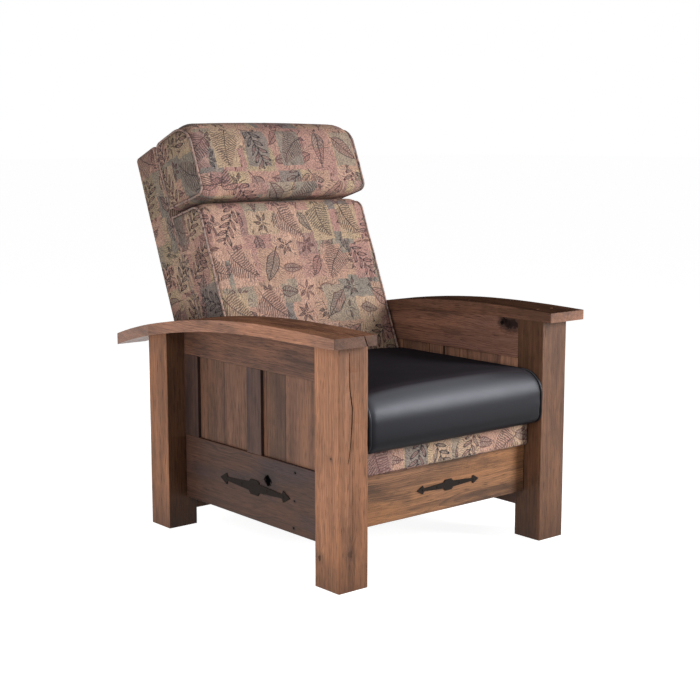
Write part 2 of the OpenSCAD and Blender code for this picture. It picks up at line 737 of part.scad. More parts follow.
module foot_pad_body(half, high) {
    linear_extrude(foot_pad_t - 6) polygon(rounded(box2(-half, -high / 2, half, high / 2), 8, 4));
    translate([0, 0, foot_pad_t - 6]) linear_extrude(6)
        polygon(rounded(box2(-half + 5, -high / 2 + 5, half - 5, high / 2 - 5), 8, 4));
}

left_side() front_post();  // post_front_left
right_side() front_post();  // post_front_right
left_side() rear_post();  // post_rear_left
right_side() rear_post();  // post_rear_right
left_side() arm_body();  // arm_left
right_side() arm_body();  // arm_right
left_side() lower_rail();  // lower_rail_left
right_side() lower_rail();  // lower_rail_right
left_side() upper_rail();  // upper_rail_left
right_side() upper_rail();  // upper_rail_right
left_side() front_stile();  // front_stile_left
right_side() front_stile();  // front_stile_right
left_side() mullion();  // mullion_left
right_side() mullion();  // mullion_right
left_side() rear_stile();  // rear_stile_left
right_side() rear_stile();  // rear_stile_right
left_side() front_panel();  // front_panel_left
right_side() front_panel();  // front_panel_right
left_side() rear_panel();  // rear_panel_left
right_side() rear_panel();  // rear_panel_right
rear_rail();
arm_plugs();
left_side() side_strap();  // side_strap_left
right_side() side_strap();  // side_strap_right
side_strap_nails();
left_side() base_plate();  // base_plate_left
right_side() base_plate();  // base_plate_right
base_tubes();
base_studs();
base_screws();
rear_swing_links();
front_swing_links();
left_side() seat_plate();  // seat_plate_left
right_side() seat_plate();  // seat_plate_right
seat_studs();
left_side() seat_side_rail();  // seat_side_rail_left
right_side() seat_side_rail();  // seat_side_rail_right
seat_rear_rail();
seat_front_rail();
seat_springs();
seat_deck();
seat_cushion();
back_frame();
left_side() back_bracket();  // back_bracket_left
right_side() back_bracket();  // back_bracket_right
back_cushion();
head_pillow();
foot_rear_links();
foot_link_studs();
foot_cross_bar();
foot_front_links();
left_side() foot_bracket();  // foot_bracket_left
right_side() foot_bracket();  // foot_bracket_right
foot_studs();
foot_board();
foot_pad();
front_strap();
front_strap_nails();
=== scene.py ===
# Looks of the reclining bow-arm chair: woods, tapestry and leather cushions, iron straps, light and camera.
# Places are in millimetres along the chair, from the front faces of the front posts, until they are
# turned into metres of the frame.
import json
import math

import bmesh
import bpy
import numpy as np
from mathutils import Matrix, Vector, noise

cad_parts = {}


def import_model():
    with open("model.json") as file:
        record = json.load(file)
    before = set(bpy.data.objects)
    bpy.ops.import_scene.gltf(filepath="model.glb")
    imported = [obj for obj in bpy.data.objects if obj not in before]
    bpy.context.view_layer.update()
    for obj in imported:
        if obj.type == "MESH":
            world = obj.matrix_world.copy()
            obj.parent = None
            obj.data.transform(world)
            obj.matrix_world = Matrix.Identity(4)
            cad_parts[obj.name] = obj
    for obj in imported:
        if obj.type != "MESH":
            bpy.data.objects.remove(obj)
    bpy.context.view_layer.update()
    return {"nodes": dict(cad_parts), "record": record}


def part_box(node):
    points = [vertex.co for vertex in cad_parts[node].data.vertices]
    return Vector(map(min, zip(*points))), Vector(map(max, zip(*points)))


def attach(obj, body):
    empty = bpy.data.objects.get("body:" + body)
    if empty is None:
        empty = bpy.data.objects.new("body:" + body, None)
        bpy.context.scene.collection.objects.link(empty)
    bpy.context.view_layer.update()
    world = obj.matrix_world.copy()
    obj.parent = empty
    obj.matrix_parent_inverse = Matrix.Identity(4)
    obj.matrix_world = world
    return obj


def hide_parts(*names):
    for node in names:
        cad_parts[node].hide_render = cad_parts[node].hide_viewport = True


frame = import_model()
nodes = frame["nodes"]
MM = 0.001
FRONT_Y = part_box("post_front_left")[0][1] / MM

# Camera without shift, fitted to the photograph's edges and to the back's outline
CAM_PLACE = (-2353.3, -2395.9, 1051.4)
CAM_YAW = math.radians(39.879)
CAM_PITCH = math.radians(8.717)
CAM_ROLL = math.radians(-0.026)
CAM_FOCAL_PX = 1387.7
CAM_CLIP = (0.05, 100)
PHOTO_PX = 700
SENSOR = 36.0

# Back: its own upright frame, turned back about the pivot
RECLINE = math.radians(22)
PIVOT = Vector((0, 690, 300))


def world(p):
    """A point in millimetres from the front posts' front faces, in metres of the frame."""
    return Vector((p[0] * MM, (p[1] + FRONT_Y) * MM, p[2] * MM))


def on_back(x, n, s):
    """x across, n behind the pivot (front is negative), s up along the back."""
    c, t = math.cos(RECLINE), math.sin(RECLINE)
    return (x, PIVOT.y + n * c + s * t, PIVOT.z - n * t + s * c)


def upright(x, n, s):
    """The same three numbers for a piece that stands upright: across, rearward and up."""
    return (x, n, s)


def show(o):
    """Puts an object in the scene."""
    bpy.context.scene.collection.objects.link(o)


# Shader helpers
class Shader:
    """The node tree of a material or a world, with arithmetic on its values."""

    def __init__(self, owner, surface="BsdfPrincipled", output="OutputMaterial"):
        owner.use_nodes = True
        self.owner = owner
        self.tree = owner.node_tree
        self.tree.nodes.clear()
        self.surface = self.node(surface)
        self.node(output, {"Surface": self.surface.outputs[0]})

    def node(self, kind, values=None, **props):
        """A new node, with values in its inputs by place or by name."""
        n = self.tree.nodes.new("ShaderNode" + kind)
        for k, v in props.items():
            setattr(n, k, v)
        for k, v in (values or {}).items():
            self.put(v, n.inputs[k])
        return n

    def val(self, kind, values=None, output=0, **props):
        """An output of a new node."""
        return Val(self, self.node(kind, values, **props).outputs[output])

    def put(self, value, socket):
        value = value.socket if isinstance(value, Val) else value
        if isinstance(value, bpy.types.NodeSocket):
            self.tree.links.new(value, socket)
        else:
            socket.default_value = value

    def math(self, op, *args):
        return self.val("Math", dict(enumerate(args)), operation=op)

    def xyz(self, x, y, z=0.0):
        return self.val("CombineXYZ", {0: x, 1: y, 2: z})

    def split(self, v):
        return [Val(self, o) for o in self.node("SeparateXYZ", {0: v}).outputs]

    def noise(self, v, scale, detail, rough=0.5, color=False):
        return self.val("TexNoise", {"Vector": v, "Scale": scale, "Detail": detail, "Roughness": rough},
                        "Color" if color else 0)

    def white(self, v, color=False):
        return self.val("TexWhiteNoise", {"Vector": v}, "Color" if color else "Value", noise_dimensions="3D")

    def voronoi(self, v, scale, feature):
        return self.val("TexVoronoi", {"Vector": v, "Scale": scale}, "Distance", feature=feature)

    def one_of(self, f, colours):
        """The colour whose equal share of 0 to 1 the number f falls in."""
        n = self.node("ValToRGB", {0: f})
        n.color_ramp.interpolation = "CONSTANT"
        e = n.color_ramp.elements
        while len(e) < len(colours):
            e.new(0.5)
        for i, c in enumerate(colours):
            e[i].position = i / len(colours)
            e[i].color = (*c, 1)
        return Val(self, n.outputs[0])

    def mix(self, f, a, b, blend="MIX"):
        a, b = [(*c, 1) if isinstance(c, tuple) else c for c in (a, b)]
        return self.val("Mix", {0: f, 6: a, 7: b}, 2, data_type="RGBA", blend_type=blend)

    def soft(self, x, low, high, to_low=0.0, to_high=1.0):
        return self.val("MapRange", {0: x, 1: low, 2: high, 3: to_low, 4: to_high},
                        interpolation_type="SMOOTHSTEP")

    def bump(self, height, strength, distance):
        return self.val("Bump", {"Height": height, "Strength": strength, "Distance": distance})

    def in_mm(self, place):
        return self.split(self.val("VectorMath", {0: place, "Scale": 1 / MM}, operation="SCALE"))

    def object_mm(self):
        return self.in_mm(self.val("TexCoord", output="Object"))

    def uv_mm(self, name):
        return self.in_mm(self.val("UVMap", uv_map=name))[:2]

    def own(self, name):
        """Three numbers that the object itself carries."""
        return self.split(self.val("Attribute", None, "Vector", attribute_type="OBJECT", attribute_name=name))

    def painted(self, name):
        """A number that the mesh carries on its faces or points."""
        return self.val("Attribute", None, "Fac", attribute_type="GEOMETRY", attribute_name=name)

    def facing(self, output="Normal"):
        """The surface's direction, as three numbers."""
        return self.split(self.val("NewGeometry", output=output))

    def times(self, colour, x, y, z):
        """A colour times three numbers."""
        return self.mix(1.0, colour, self.xyz(x, y, z), "MULTIPLY")

    def seen(self, low, high):
        """high for camera, mirror and glass rays, and low for the others."""
        rays = self.node("LightPath").outputs
        white = Val(self, rays["Is Camera Ray"]).max(rays["Is Glossy Ray"]).max(rays["Is Transmission Ray"])
        return white * (high - low) + low

    def set(self, **sockets):
        names = {"color": "Base Color", "rough": "Roughness", "metal": "Metallic", "normal": "Normal",
                 "specular": "Specular IOR Level"}
        for k, v in sockets.items():
            self.put(v, self.surface.inputs[names[k]])
        return self.owner


def painter(name):
    """A new material to work on."""
    return Shader(bpy.data.materials.new(name))


class Val:
    """A socket's value. Python's operators on it make math nodes."""

    def __init__(self, shader, socket):
        self.s = shader
        self.socket = socket


def operator(op, swapped=False):
    def apply(*values):
        return values[0].s.math(op, *(values[::-1] if swapped else values))
    return apply


OPERATORS = {"__add__": "ADD", "__sub__": "SUBTRACT", "__mul__": "MULTIPLY", "__truediv__": "DIVIDE",
             "__lt__": "LESS_THAN", "__gt__": "GREATER_THAN", "power": "POWER", "max": "MAXIMUM",
             "min": "MINIMUM", "abs": "ABSOLUTE", "floor": "FLOOR", "fract": "FRACT", "sin": "SINE",
             "cos": "COSINE", "sqrt": "SQRT"}
for method, op in OPERATORS.items():
    setattr(Val, method, operator(op))
Val.__radd__ = operator("ADD", swapped=True)
Val.__rsub__ = operator("SUBTRACT", swapped=True)


# Tapestry: patches in muted colours, with line drawings of ferns, branches, sprigs and leaves
PATCH_COLOURS = [
    (0.53, 0.34, 0.26), (0.52, 0.305, 0.26), (0.40, 0.325, 0.26), (0.58, 0.41, 0.30),
    (0.28, 0.240, 0.225), (0.49, 0.28, 0.25), (0.47, 0.36, 0.25), (0.62, 0.39, 0.31),
    (0.31, 0.270, 0.235), (0.56, 0.41, 0.280), (0.41, 0.250, 0.23), (0.58, 0.355, 0.28)]
CHARCOAL = (0.045, 0.038, 0.045)
WINE = (0.115, 0.045, 0.052)
HATCH_INK = (0.115, 0.09, 0.09)
ROSE_FILL = (0.40, 0.205, 0.19)
GREY_FILL = (0.245, 0.205, 0.195)
FADED = (0.66, 0.48, 0.37)
# Sizes in millimetres: small and large patches, the part of a large one that shows, lines and yarns
SMALL_PATCH = (76.0, 66.0)
LARGE_PATCH = (104.0, 118.0)
LARGE_SHIFT = (31, 40)
LARGE_SHOWN = (38, 52)
EDGE_WANDER = 14
HATCH_PITCH = 7.0
YARN = (1.7, 1.9)
YARN_BUMP = 0.0006
CLOTH_ROUGH = 0.88
CLOTH_SPECULAR = 0.12


def patches(s, u, v, width, height, seed):
    """Cells of uneven width in rows: the cell's numbers, and the place in it in millimetres."""
    row = (v / height).floor()
    along = u / width + s.white(s.xyz(row, seed, 3.3)) * 5
    cell = along.floor()

    def edge(c):
        return c + s.white(s.xyz(c, row, seed)) * 0.45

    low = edge(cell)
    high = edge(cell + 1)
    before = along < low
    start = s.math("MULTIPLY_ADD", before, edge(cell - 1) - low, low)
    end = s.math("MULTIPLY_ADD", before, low - high, high)
    place = s.xyz(cell - before, row, seed + 4)
    return place, (along - (start + end) * 0.5) * width, ((v / height).fract() - 0.5) * height


def turned(x, y, angle):
    c, t = angle.cos(), angle.sin()
    return x * c - y * t, x * t + y * c


def stripe(s, x, pitch, line):
    """Lines across x, a pitch apart."""
    return s.soft(((x / pitch).fract() - 0.5).abs() * pitch, line, 0)


def leaf(s, x, y, length, width, pitch, line):
    """Outline, midrib and veins of a leaf that points up, and its filled shape."""
    ax = x.abs()
    t = y / length
    half = (1 - t * t).max(0).power(0.8) * (1 - t * 0.35) * width
    inside = s.soft(half - ax, 0, line)
    outline = s.soft((ax - half).abs(), line, 0) * (t.abs() < 1.0)
    rib = s.soft(ax, line, 0) * (t.abs() < 1.35)
    veins = stripe(s, y - ax * 0.9, pitch, line * 0.8) * inside
    return outline.max(rib).max(veins * 0.75), inside


def wing(s, x, y, length, width, pitch, line):
    """A fern: a stem with many thin leaflets, close together."""
    t = y / length
    bent = x - y * y * 0.004
    ax = bent.abs()
    reach = (1 - t).max(0).power(0.55) * (t > -0.75) * width
    rib = s.soft(ax, line, 0) * (t.abs() < 1.0)
    leaflets = stripe(s, y - ax * 0.4, pitch, pitch * 0.40) * s.soft(reach - ax, 0, 5)
    return rib.max(leaflets * 0.8), s.soft(reach - ax, -1, 3)


def branch(s, x, y, length, pitch, reach, line):
    """A stem with a leaf to each side at each step."""
    ax = x.abs()
    on = (y / length).abs() < 1.0
    ly = (((y - ax * 0.85) / pitch + (x > 0) * 0.5).fract() - 0.5) * pitch
    px = (ax - reach * 1.05) / reach
    py = ly / (pitch * 0.29)
    d = px * px + py * py
    edge = s.soft((d - 0.85).abs(), 0.50, 0.1)
    vein = s.soft(ly.abs(), line * 0.8, 0) * (d < 0.8)
    rib = s.soft(ax, line, 0)
    return rib.max(edge).max(vein * 0.8) * on, s.soft(d, 1.0, 0.6) * on


def sprig(s, x, y, length, line):
    """Five small leaves on a stem."""
    angle = s.math("ARCTAN2", x, y)
    radius = (x * x + y * y).sqrt()
    step = math.radians(56)
    rest = angle - (angle / step + 0.5).floor().max(-2).min(2) * step
    lx, ly = radius * rest.sin(), radius * rest.cos() - length * 0.64
    lines, fill = leaf(s, lx, ly, length * 0.36, length * 0.15, 20.0, line)
    stem = s.soft(x.abs(), line, 0) * (y < 0) * (y > -length)
    return lines.max(stem), fill


def choose(s, flag, a, b):
    return s.math("MULTIPLY_ADD", flag, b - a, a)


def tapestry(name, seed):
    s = painter(name)
    u, v = s.uv_mm("cloth")
    u = u + seed * 311.0
    v = v + seed * 97.0
    wx, wy, wz = s.split(s.noise(s.xyz(u, v), 0.035, 2, color=True))
    u1 = u + (wx - 0.5) * EDGE_WANDER
    v1 = v + (wy - 0.5) * EDGE_WANDER
    cell, lu, lv = patches(s, u1, v1, *SMALL_PATCH, 1.7)
    pick, other, third = s.split(s.white(cell, color=True))
    base = s.one_of(pick, PATCH_COLOURS)

    # A second, larger set of drawings lies over the patches
    cell2, lu2, lv2 = patches(s, u1 + LARGE_SHIFT[0], v1 + LARGE_SHIFT[1], *LARGE_PATCH, 5.3)
    pick2, other2, third2 = s.split(s.white(cell2, color=True))
    over = (pick2 > 0.35) * (lv2.abs() < LARGE_SHOWN[1]) * (lu2.abs() < LARGE_SHOWN[0])
    base = s.mix(over * 0.9, base, s.one_of(third2, PATCH_COLOURS))

    # Fine drawn lines in each patch, as in an etching
    angle = choose(s, over, other, other2) * 3.1
    hx, _ = turned(u, v, angle)
    hatch = s.soft((((hx + wx * 40 + wz * 22) / HATCH_PITCH).fract() - 0.5).abs(), 0.30, 0.05)
    fade = s.soft(wz, 0.30, 0.62)

    # Motifs
    mx, my = turned(lu, lv, (other - 0.5) * 3.4)
    leaf_lines, leaf_fill = leaf(s, mx, my, 31.0, 13.5, 8.0, 2.1)
    sprig_lines, sprig_fill = sprig(s, mx, my + 3, 27.0, 2.1)
    is_sprig = third > 0.55
    lines = choose(s, is_sprig, leaf_lines, sprig_lines)
    fill = choose(s, is_sprig, leaf_fill, sprig_fill)
    shown = 1 - over
    lines, fill = lines * shown, fill * shown

    fx, fy = turned(lu2, lv2, (other2 - 0.5) * 2.4)
    wing_lines, wing_fill = wing(s, fx, fy + 6, 56.0, 36.0, 6.6, 2.4)
    big_lines, big_fill = leaf(s, fx, fy, 48.0, 19.0, 9.0, 2.4)
    stem_lines, stem_fill = branch(s, fx, fy, 55.0, 24.0, 12.5, 2.2)
    is_wing = third2 > 0.62
    is_leaf = third2 < 0.25
    lines2 = choose(s, is_leaf, choose(s, is_wing, stem_lines, wing_lines), big_lines)
    fill2 = choose(s, is_leaf, choose(s, is_wing, stem_fill, wing_fill * 0.3), big_fill)
    shown2 = pick2 > 0.12
    lines = lines.max(lines2 * shown2)
    fill = fill.max(fill2 * shown2)

    tint = s.mix(s.soft(other, 0.52, 0.6), ROSE_FILL, GREY_FILL)
    colour = s.mix(fill * 0.55, base, tint)
    colour = s.mix(hatch * (fade * 0.50 + 0.20), colour, HATCH_INK)
    colour = s.mix(s.soft(wx, 0.56, 0.72) * 0.3, colour, FADED)
    ink = s.mix(s.soft(other, 0.75, 0.78), CHARCOAL, WINE)
    broken = s.soft(wy, 0.26, 0.40)
    colour = s.mix(lines * (broken * 0.25 + 0.72), colour, ink)

    # Yarns: each thread a little lighter or darker, and all of them darker along the welts as painted shadow
    yarn = s.white(s.xyz((u / YARN[0]).floor(), (v / YARN[1]).floor(), 0.5))
    tone = (0.54 + yarn * 0.56) * (1 - s.painted("seam") * 0.55)
    colour = s.times(colour, tone, tone * 0.985, tone * 0.94)
    return s.set(color=colour, rough=CLOTH_ROUGH, specular=CLOTH_SPECULAR,
                 normal=s.bump(yarn, 0.35, YARN_BUMP))


PIPING_COLOURS = [(0.44, 0.285, 0.235), (0.32, 0.245, 0.215), (0.16, 0.10, 0.10)]
PIPING_YARN = 2.0


def piping(name):
    """The edging of the welts, in the tapestry's colours."""
    s = painter(name)
    place = s.object_mm()
    rose, grey, dark = PIPING_COLOURS
    n, m, _ = s.split(s.noise(s.xyz(*place), 0.09, 1, color=True))
    colour = s.mix(s.soft(n, 0.42, 0.56), rose, grey)
    colour = s.mix(s.soft(m, 0.56, 0.64), colour, dark)
    yarn = s.white(s.xyz(*((k / PIPING_YARN).floor() for k in place)))
    tone = 0.72 + yarn * 0.5
    return s.set(color=s.times(colour, tone, tone, tone), rough=CLOTH_ROUGH, specular=CLOTH_SPECULAR,
                 normal=s.bump(yarn, 0.3, YARN_BUMP))


# Two colours each: leather on the sides, leather on top (lighter, as painted reflection), iron, steel
LEATHER_SIDE = (0.0040, 0.0038, 0.0050), (0.0070, 0.0065, 0.0080)
LEATHER_TOP_REFLECTION = (0.0270, 0.0235, 0.0280), (0.0330, 0.0290, 0.0345)
LEATHER_SHINE = (0.86, 0.89, 1.0, 1)
LEATHER_SHADE_Z = (305.0, 425.0)
IRON = (0.008, 0.0068, 0.0062), (0.030, 0.022, 0.018)
STEEL = (0.028, 0.028, 0.030), (0.055, 0.055, 0.058)
DECK_CLOTH = (0.010, 0.010, 0.011), (0.022, 0.021, 0.022)
DECK_YARN = 1.1


def leather(name):
    """Fine grain. Painted highlight: the shine is strongest on the rounded front, set by which way it faces.
    Painted shade: the shine fades towards the foot. The top is matt, and its lighter colour is a painted
    reflection.
    """
    s = painter(name)
    x, y, z = s.object_mm()
    v = s.xyz(x, y, z)
    grain = s.voronoi(v, 0.80, "F1")
    wide = s.noise(v, 0.02, 2)
    colour = s.mix(wide, *LEATHER_SIDE)
    normal = s.bump(grain, 0.16, 0.0004)
    s.put(LEATHER_SHINE, s.surface.inputs["Specular Tint"])
    # Painted highlight and shade: the shine is set by the surface's direction and height; upward faces get no
    # shine and a lighter colour, as painted reflection
    rise = s.facing()[2]
    roll = s.soft(rise, 0.0, 0.75)
    up = s.soft(rise, 0.80, 0.94)
    shade = s.soft(z, *LEATHER_SHADE_Z, 0.35, 1.0)
    colour = s.mix(up, colour, s.mix(wide, *LEATHER_TOP_REFLECTION))
    return s.set(color=colour, rough=wide * 0.06 + 0.47, normal=normal,
                 specular=(roll * 0.48 + 0.25) * shade * (1 - up))


def iron(name):
    """Hammered, blackened iron."""
    s = painter(name)
    v = s.xyz(*s.object_mm())
    dents = s.voronoi(v, 0.11, "SMOOTH_F1")
    fine = s.noise(v, 0.6, 4, 0.6)
    normal = s.bump(dents * 0.8 + fine * 0.25, 0.8, 0.0012)
    return s.set(color=s.mix(fine, *IRON), rough=0.55 + fine * 0.3, specular=0.07, normal=normal)


def steel(name):
    """Rolled steel in satin black."""
    s = painter(name)
    x, y, z = s.object_mm()
    fine = s.noise(s.xyz(x * 0.05, y, z), 0.9, 3)
    wide = s.noise(s.xyz(x, y, z), 0.03, 2)
    normal = s.bump(fine, 0.25, 0.0003)
    return s.set(color=s.mix(wide, *STEEL), rough=0.36 + fine * 0.18, metal=0.75, normal=normal)


def deck_cloth(name):
    """Thin woven cloth under the seat."""
    s = painter(name)
    x, y, z = s.object_mm()
    weave = ((x / DECK_YARN).sin() * (y / DECK_YARN).sin()).abs()
    tone = s.noise(s.xyz(x, y, z), 0.2, 3)
    return s.set(color=s.mix(tone, *DECK_CLOTH), rough=0.9, normal=s.bump(weave, 0.4, 0.0005))


# Colours of the wood's marks: blued patches, pores, gaps between planks, knot rims, knot cores that are
# partly painted shade inside holes, and the glow of warm patches
COLD = (0.060, 0.045, 0.056)
PORE = (0.022, 0.013, 0.010)
GAP = (0.012, 0.008, 0.007)
KNOT_RIM = (0.035, 0.021, 0.017)
KNOT_CORE_AND_HOLE_SHADE = (0.004, 0.003, 0.003)
GLOW = (1.30, 1.16, 0.95)
SAW_PITCH = 5.5
# Below this height in millimetres the wood gets darker towards the floor
FOOT_DARKENING_Z = 130.0
# Share of the colour left inside cracks and holes, as painted shade
CUT_SHADE = 0.06
# Gain of the painted glint on the bevels between top and front
GLINT_GAIN = 1.6


def wood(name, grain, light, dark, stain=(0.040, 0.025, 0.021), stained=0.4, rings=4.6, ring_depth=0.45,
         sway=60.0, saw=0.0, blue=0.0, streak=0.25, warm_patches=0.35, rough=0.40, spots=(), joints=()):
    """Board with its grain along x, y or z. light and dark are its early and late wood. The object carries
    grain (seed, tone, warmth), face_shading (tones of its upper and front faces, painted shade and light) and
    pith, a point on the middle of the tree. Where its attribute open is 1, a crack or a hole is cut in, and
    its faces there are darkened as painted shade."""
    s = painter(name)
    x, y, z = s.object_mm()

    def order(p):
        return {"x": (p[0], p[2], p[1]), "y": (p[1], p[2], p[0]), "z": (p[2], p[0], p[1])}[grain]

    l, a, b = order((x, y, z))
    number, tone, warm = s.own("grain")
    top_shading, front_shading, _ = s.own("face_shading")
    _, pith_a, pith_b = order(s.own("pith"))
    off = number * 71.3
    bend = s.split(s.noise(s.xyz(l * 0.0022, a * 0.008 + off, b * 0.008), 1.0, 2, 0.55, color=True))
    ra = a - pith_a + (bend[0] - 0.5) * sway
    rb = b - pith_b + (bend[1] - 0.5) * sway
    near = []
    for place, size, depth in spots:
        pl, pa, pb = order(place)
        dl, da, db = l - pl, a - pa, b - pb
        near.append(((dl * dl * 0.7 + da * da + db * db).sqrt(), size, depth))
        swing = (dl * dl * 0.25 + da * da + db * db).sqrt()
        ra = ra + s.soft(swing, size * 4.5, size * 0.6) * size * 1.7
    turn = (ra * ra + rb * rb).sqrt() / rings
    ring = turn.fract()
    late = s.soft(ring, 0.30, 0.92) * s.soft(ring, 1.0, 0.93)
    year = s.white(s.xyz(turn.floor(), off, 1.0))

    def stretched(long, across, detail, roughness=0.5):
        """Noise drawn out along the grain."""
        return s.noise(s.xyz(l * long, a * across + off, b * across), 1.0, detail, roughness)

    fibre = stretched(0.016, 0.62, 3, 0.7)
    streaks = stretched(0.0016, 0.11, 3, 0.7)
    pore = s.soft(stretched(0.030, 1.1, 0), 0.63, 0.72)
    mottle = stretched(0.0060, 0.020, 4, 0.66)
    blotch = s.noise(s.xyz(l * 0.0024, a * 0.009, b * 0.009 + off), 1.0, 2, 0.6)

    colour = s.mix(late * ring_depth * (0.45 + year * 0.9), light, dark)
    colour = s.mix(s.soft(streaks, 0.60, 0.36) * streak, colour, s.mix(0.35, dark, stain))
    glow = s.soft(bend[1] * 0.6 + mottle * 0.4, 0.47, 0.62) * warm_patches
    colour = s.mix(glow, colour, tuple(c * k for c, k in zip(light, GLOW)))
    weather = s.soft(blotch * 0.6 + mottle * 0.4, 0.60 - 0.16 * stained, 0.42 - 0.08 * stained)
    weather = weather * (0.15 + 0.65 * stained)
    colour = s.mix(weather.min(0.9), colour, stain)
    if blue:
        cold = s.soft(bend[2] * 0.6 + blotch * 0.4, 0.50, 0.60)
        cold = cold * (s.soft(streaks, 0.36, 0.60) * 0.6 + 0.4) * blue
        colour = s.mix(cold, colour, COLD)
    gain = (s.soft(fibre, 0.26, 0.74) * 0.42 + 0.79) * (s.soft(streaks, 0.30, 0.70) * 0.22 + 0.89)
    gain = gain * (s.soft(mottle, 0.34, 0.66) * 0.12 + 0.94)
    colour = s.times(colour, gain, gain, gain)
    if saw:
        cross = ((l * 0.97 + a * 0.20 + bend[0] * 30) / SAW_PITCH).fract()
        marks = s.soft((cross - 0.5).abs(), 0.26, 0.46) * s.soft(bend[1], 0.44, 0.58)
        marks = marks * s.soft(mottle, 0.40, 0.52)
        colour = s.mix(marks * saw, colour, s.mix(0.7, colour, light))
    if joints:
        deep = y - FRONT_Y
        plank = deep > joints[0]
        gap = (deep - joints[0]).abs()
        for j in joints[1:]:
            plank = plank + (deep > j)
            gap = gap.min((deep - j).abs())
        hue = s.white(s.xyz(plank, off, 8.8))
        shade = 0.72 + hue * 0.56
        colour = s.times(colour, shade, shade * (1.02 - hue * 0.04), shade * (1.03 - hue * 0.08))
        colour = s.mix(s.soft(gap, 1.3, 0.5), colour, GAP)
    colour = s.mix(pore * 0.70, colour, PORE)
    cut = s.painted("open")
    dull = cut
    rag = bend[0] * 0.8 + fibre - 0.9
    torn = s.noise(s.xyz(l * 0.10, a * 0.16, b * 0.16), 1.0, 4, 0.75) - 0.5 if near else 0
    for d, size, depth in near:
        ragged = d + (torn * 2.2 + rag * 0.6) * size
        colour = s.mix(s.soft(ragged, size * 3.2, size * 0.9) * depth * 0.6, colour, KNOT_RIM)
        # The near-black core is partly the dark heart of a knot and partly painted shade inside knot and nail
        # holes; there the wood also loses its shine
        core = s.soft(ragged, size * 1.15, size * 0.75) * depth
        dull = dull.max(core)
        colour = s.mix(core, colour, KNOT_CORE_AND_HOLE_SHADE)
    face = s.facing("True Normal")
    # Painted shade and light: upper and front faces take their own tones, by which way they face
    tone = tone * s.soft(face[2], 0.55, 0.85, 1.0, top_shading) * s.soft(face[1], -0.55, -0.85, 1.0, front_shading)
    tone = tone * s.soft(order(face)[0].abs(), 0.85, 0.95, 1.0, 0.8)
    # Faces inside cracks and holes are darkened as painted shade
    tone = tone * s.soft(cut, 0.0, 1.0, 1.0, CUT_SHADE) * s.soft(z, 0.0, FOOT_DARKENING_Z, 0.66, 1.0)
    # Painted highlight: bevels between the top and the front are lightened as a glint
    edge_glint = s.soft(face[2], 0.35, 0.55) * s.soft(face[2], 0.9, 0.8) * s.soft(face[1], -0.35, -0.55)
    tone = tone * (1 + edge_glint * GLINT_GAIN)
    colour = s.times(colour, tone * (1 + warm), tone * 0.96, tone * (0.96 - warm))
    normal = s.bump(fibre * 0.5 - pore * 0.8, 0.35, 0.0008)
    shine = s.math("MULTIPLY_ADD", fibre, 0.16, rough) + weather * 0.08
    # Upward faces get no shine, which keeps the tops dark as painted shade
    return s.set(color=colour, rough=shine, normal=normal,
                 specular=s.soft(dull, 0.0, 1.0, 0.20, 0.01) * s.soft(face[2], 0.55, 0.85, 1.0, 0.0))


def spots_on(x, *rows):
    """Knots and nail holes on the face at x: place along the chair, height, size and depth of each."""
    return [((x, y + FRONT_Y, z), size, depth) for y, z, size, depth in rows]


# Gaps between the panels' planks, along the chair
JOINTS = [549, 432, 363, 285, 155]
RAIL_X = -329.5
UPPER_X = 301.5
POST_SIDE_X = -385.5
POST_FRONT_X = -352
SPOT_RAIL = spots_on(RAIL_X, (348.5, 197, 13.0, 1.0), (236, 238, 3.2, 0.95), (339, 164, 3.4, 0.95),
                     (239, 166, 3.0, 0.9), (243, 96, 3.0, 0.9))
SPOT_UPPER = spots_on(UPPER_X, (104, 563, 9.0, 0.97), (113, 566, 12.0, 0.95), (123, 562, 11.0, 0.97),
                      (133, 566, 11.0, 0.9), (143, 569, 9.0, 0.95), (151, 565, 6.0, 0.9))
SPOT_POST = spots_on(POST_SIDE_X, (71, 72, 6.0, 0.6), (28, 318, 3.0, 0.7))
SPOT_POST += spots_on(POST_FRONT_X, (0, 92, 7.0, 0.3))
POST = dict(light=(0.335, 0.160, 0.085), dark=(0.185, 0.076, 0.038), stained=0.22, rings=4.2, sway=26,
            streak=0.2, warm_patches=0.3)
RAIL = dict(light=(0.160, 0.080, 0.052), dark=(0.066, 0.033, 0.026), stained=0.8, saw=0.3, blue=0.6, sway=90,
            warm_patches=0.5)
UPPER = dict(light=(0.235, 0.117, 0.074), dark=(0.105, 0.048, 0.034), stained=0.55, blue=0.3, sway=70)
PANEL = dict(light=(0.225, 0.117, 0.073), dark=(0.110, 0.056, 0.038), stained=0.40, blue=0.12, sway=30,
             joints=JOINTS, saw=0.25)
STILE = dict(light=(0.150, 0.080, 0.060), dark=(0.065, 0.038, 0.034), stained=0.6, blue=0.9, sway=30)
ARM = dict(light=(0.345, 0.176, 0.112), dark=(0.190, 0.086, 0.053), stained=0.30, rings=3.8, rough=0.30,
           sway=35)
BOARD = dict(light=(0.355, 0.176, 0.082), dark=(0.100, 0.052, 0.033), stained=0.6, rings=3.8, ring_depth=0.50,
             saw=0.8, sway=60, blue=0.20, streak=0.5)
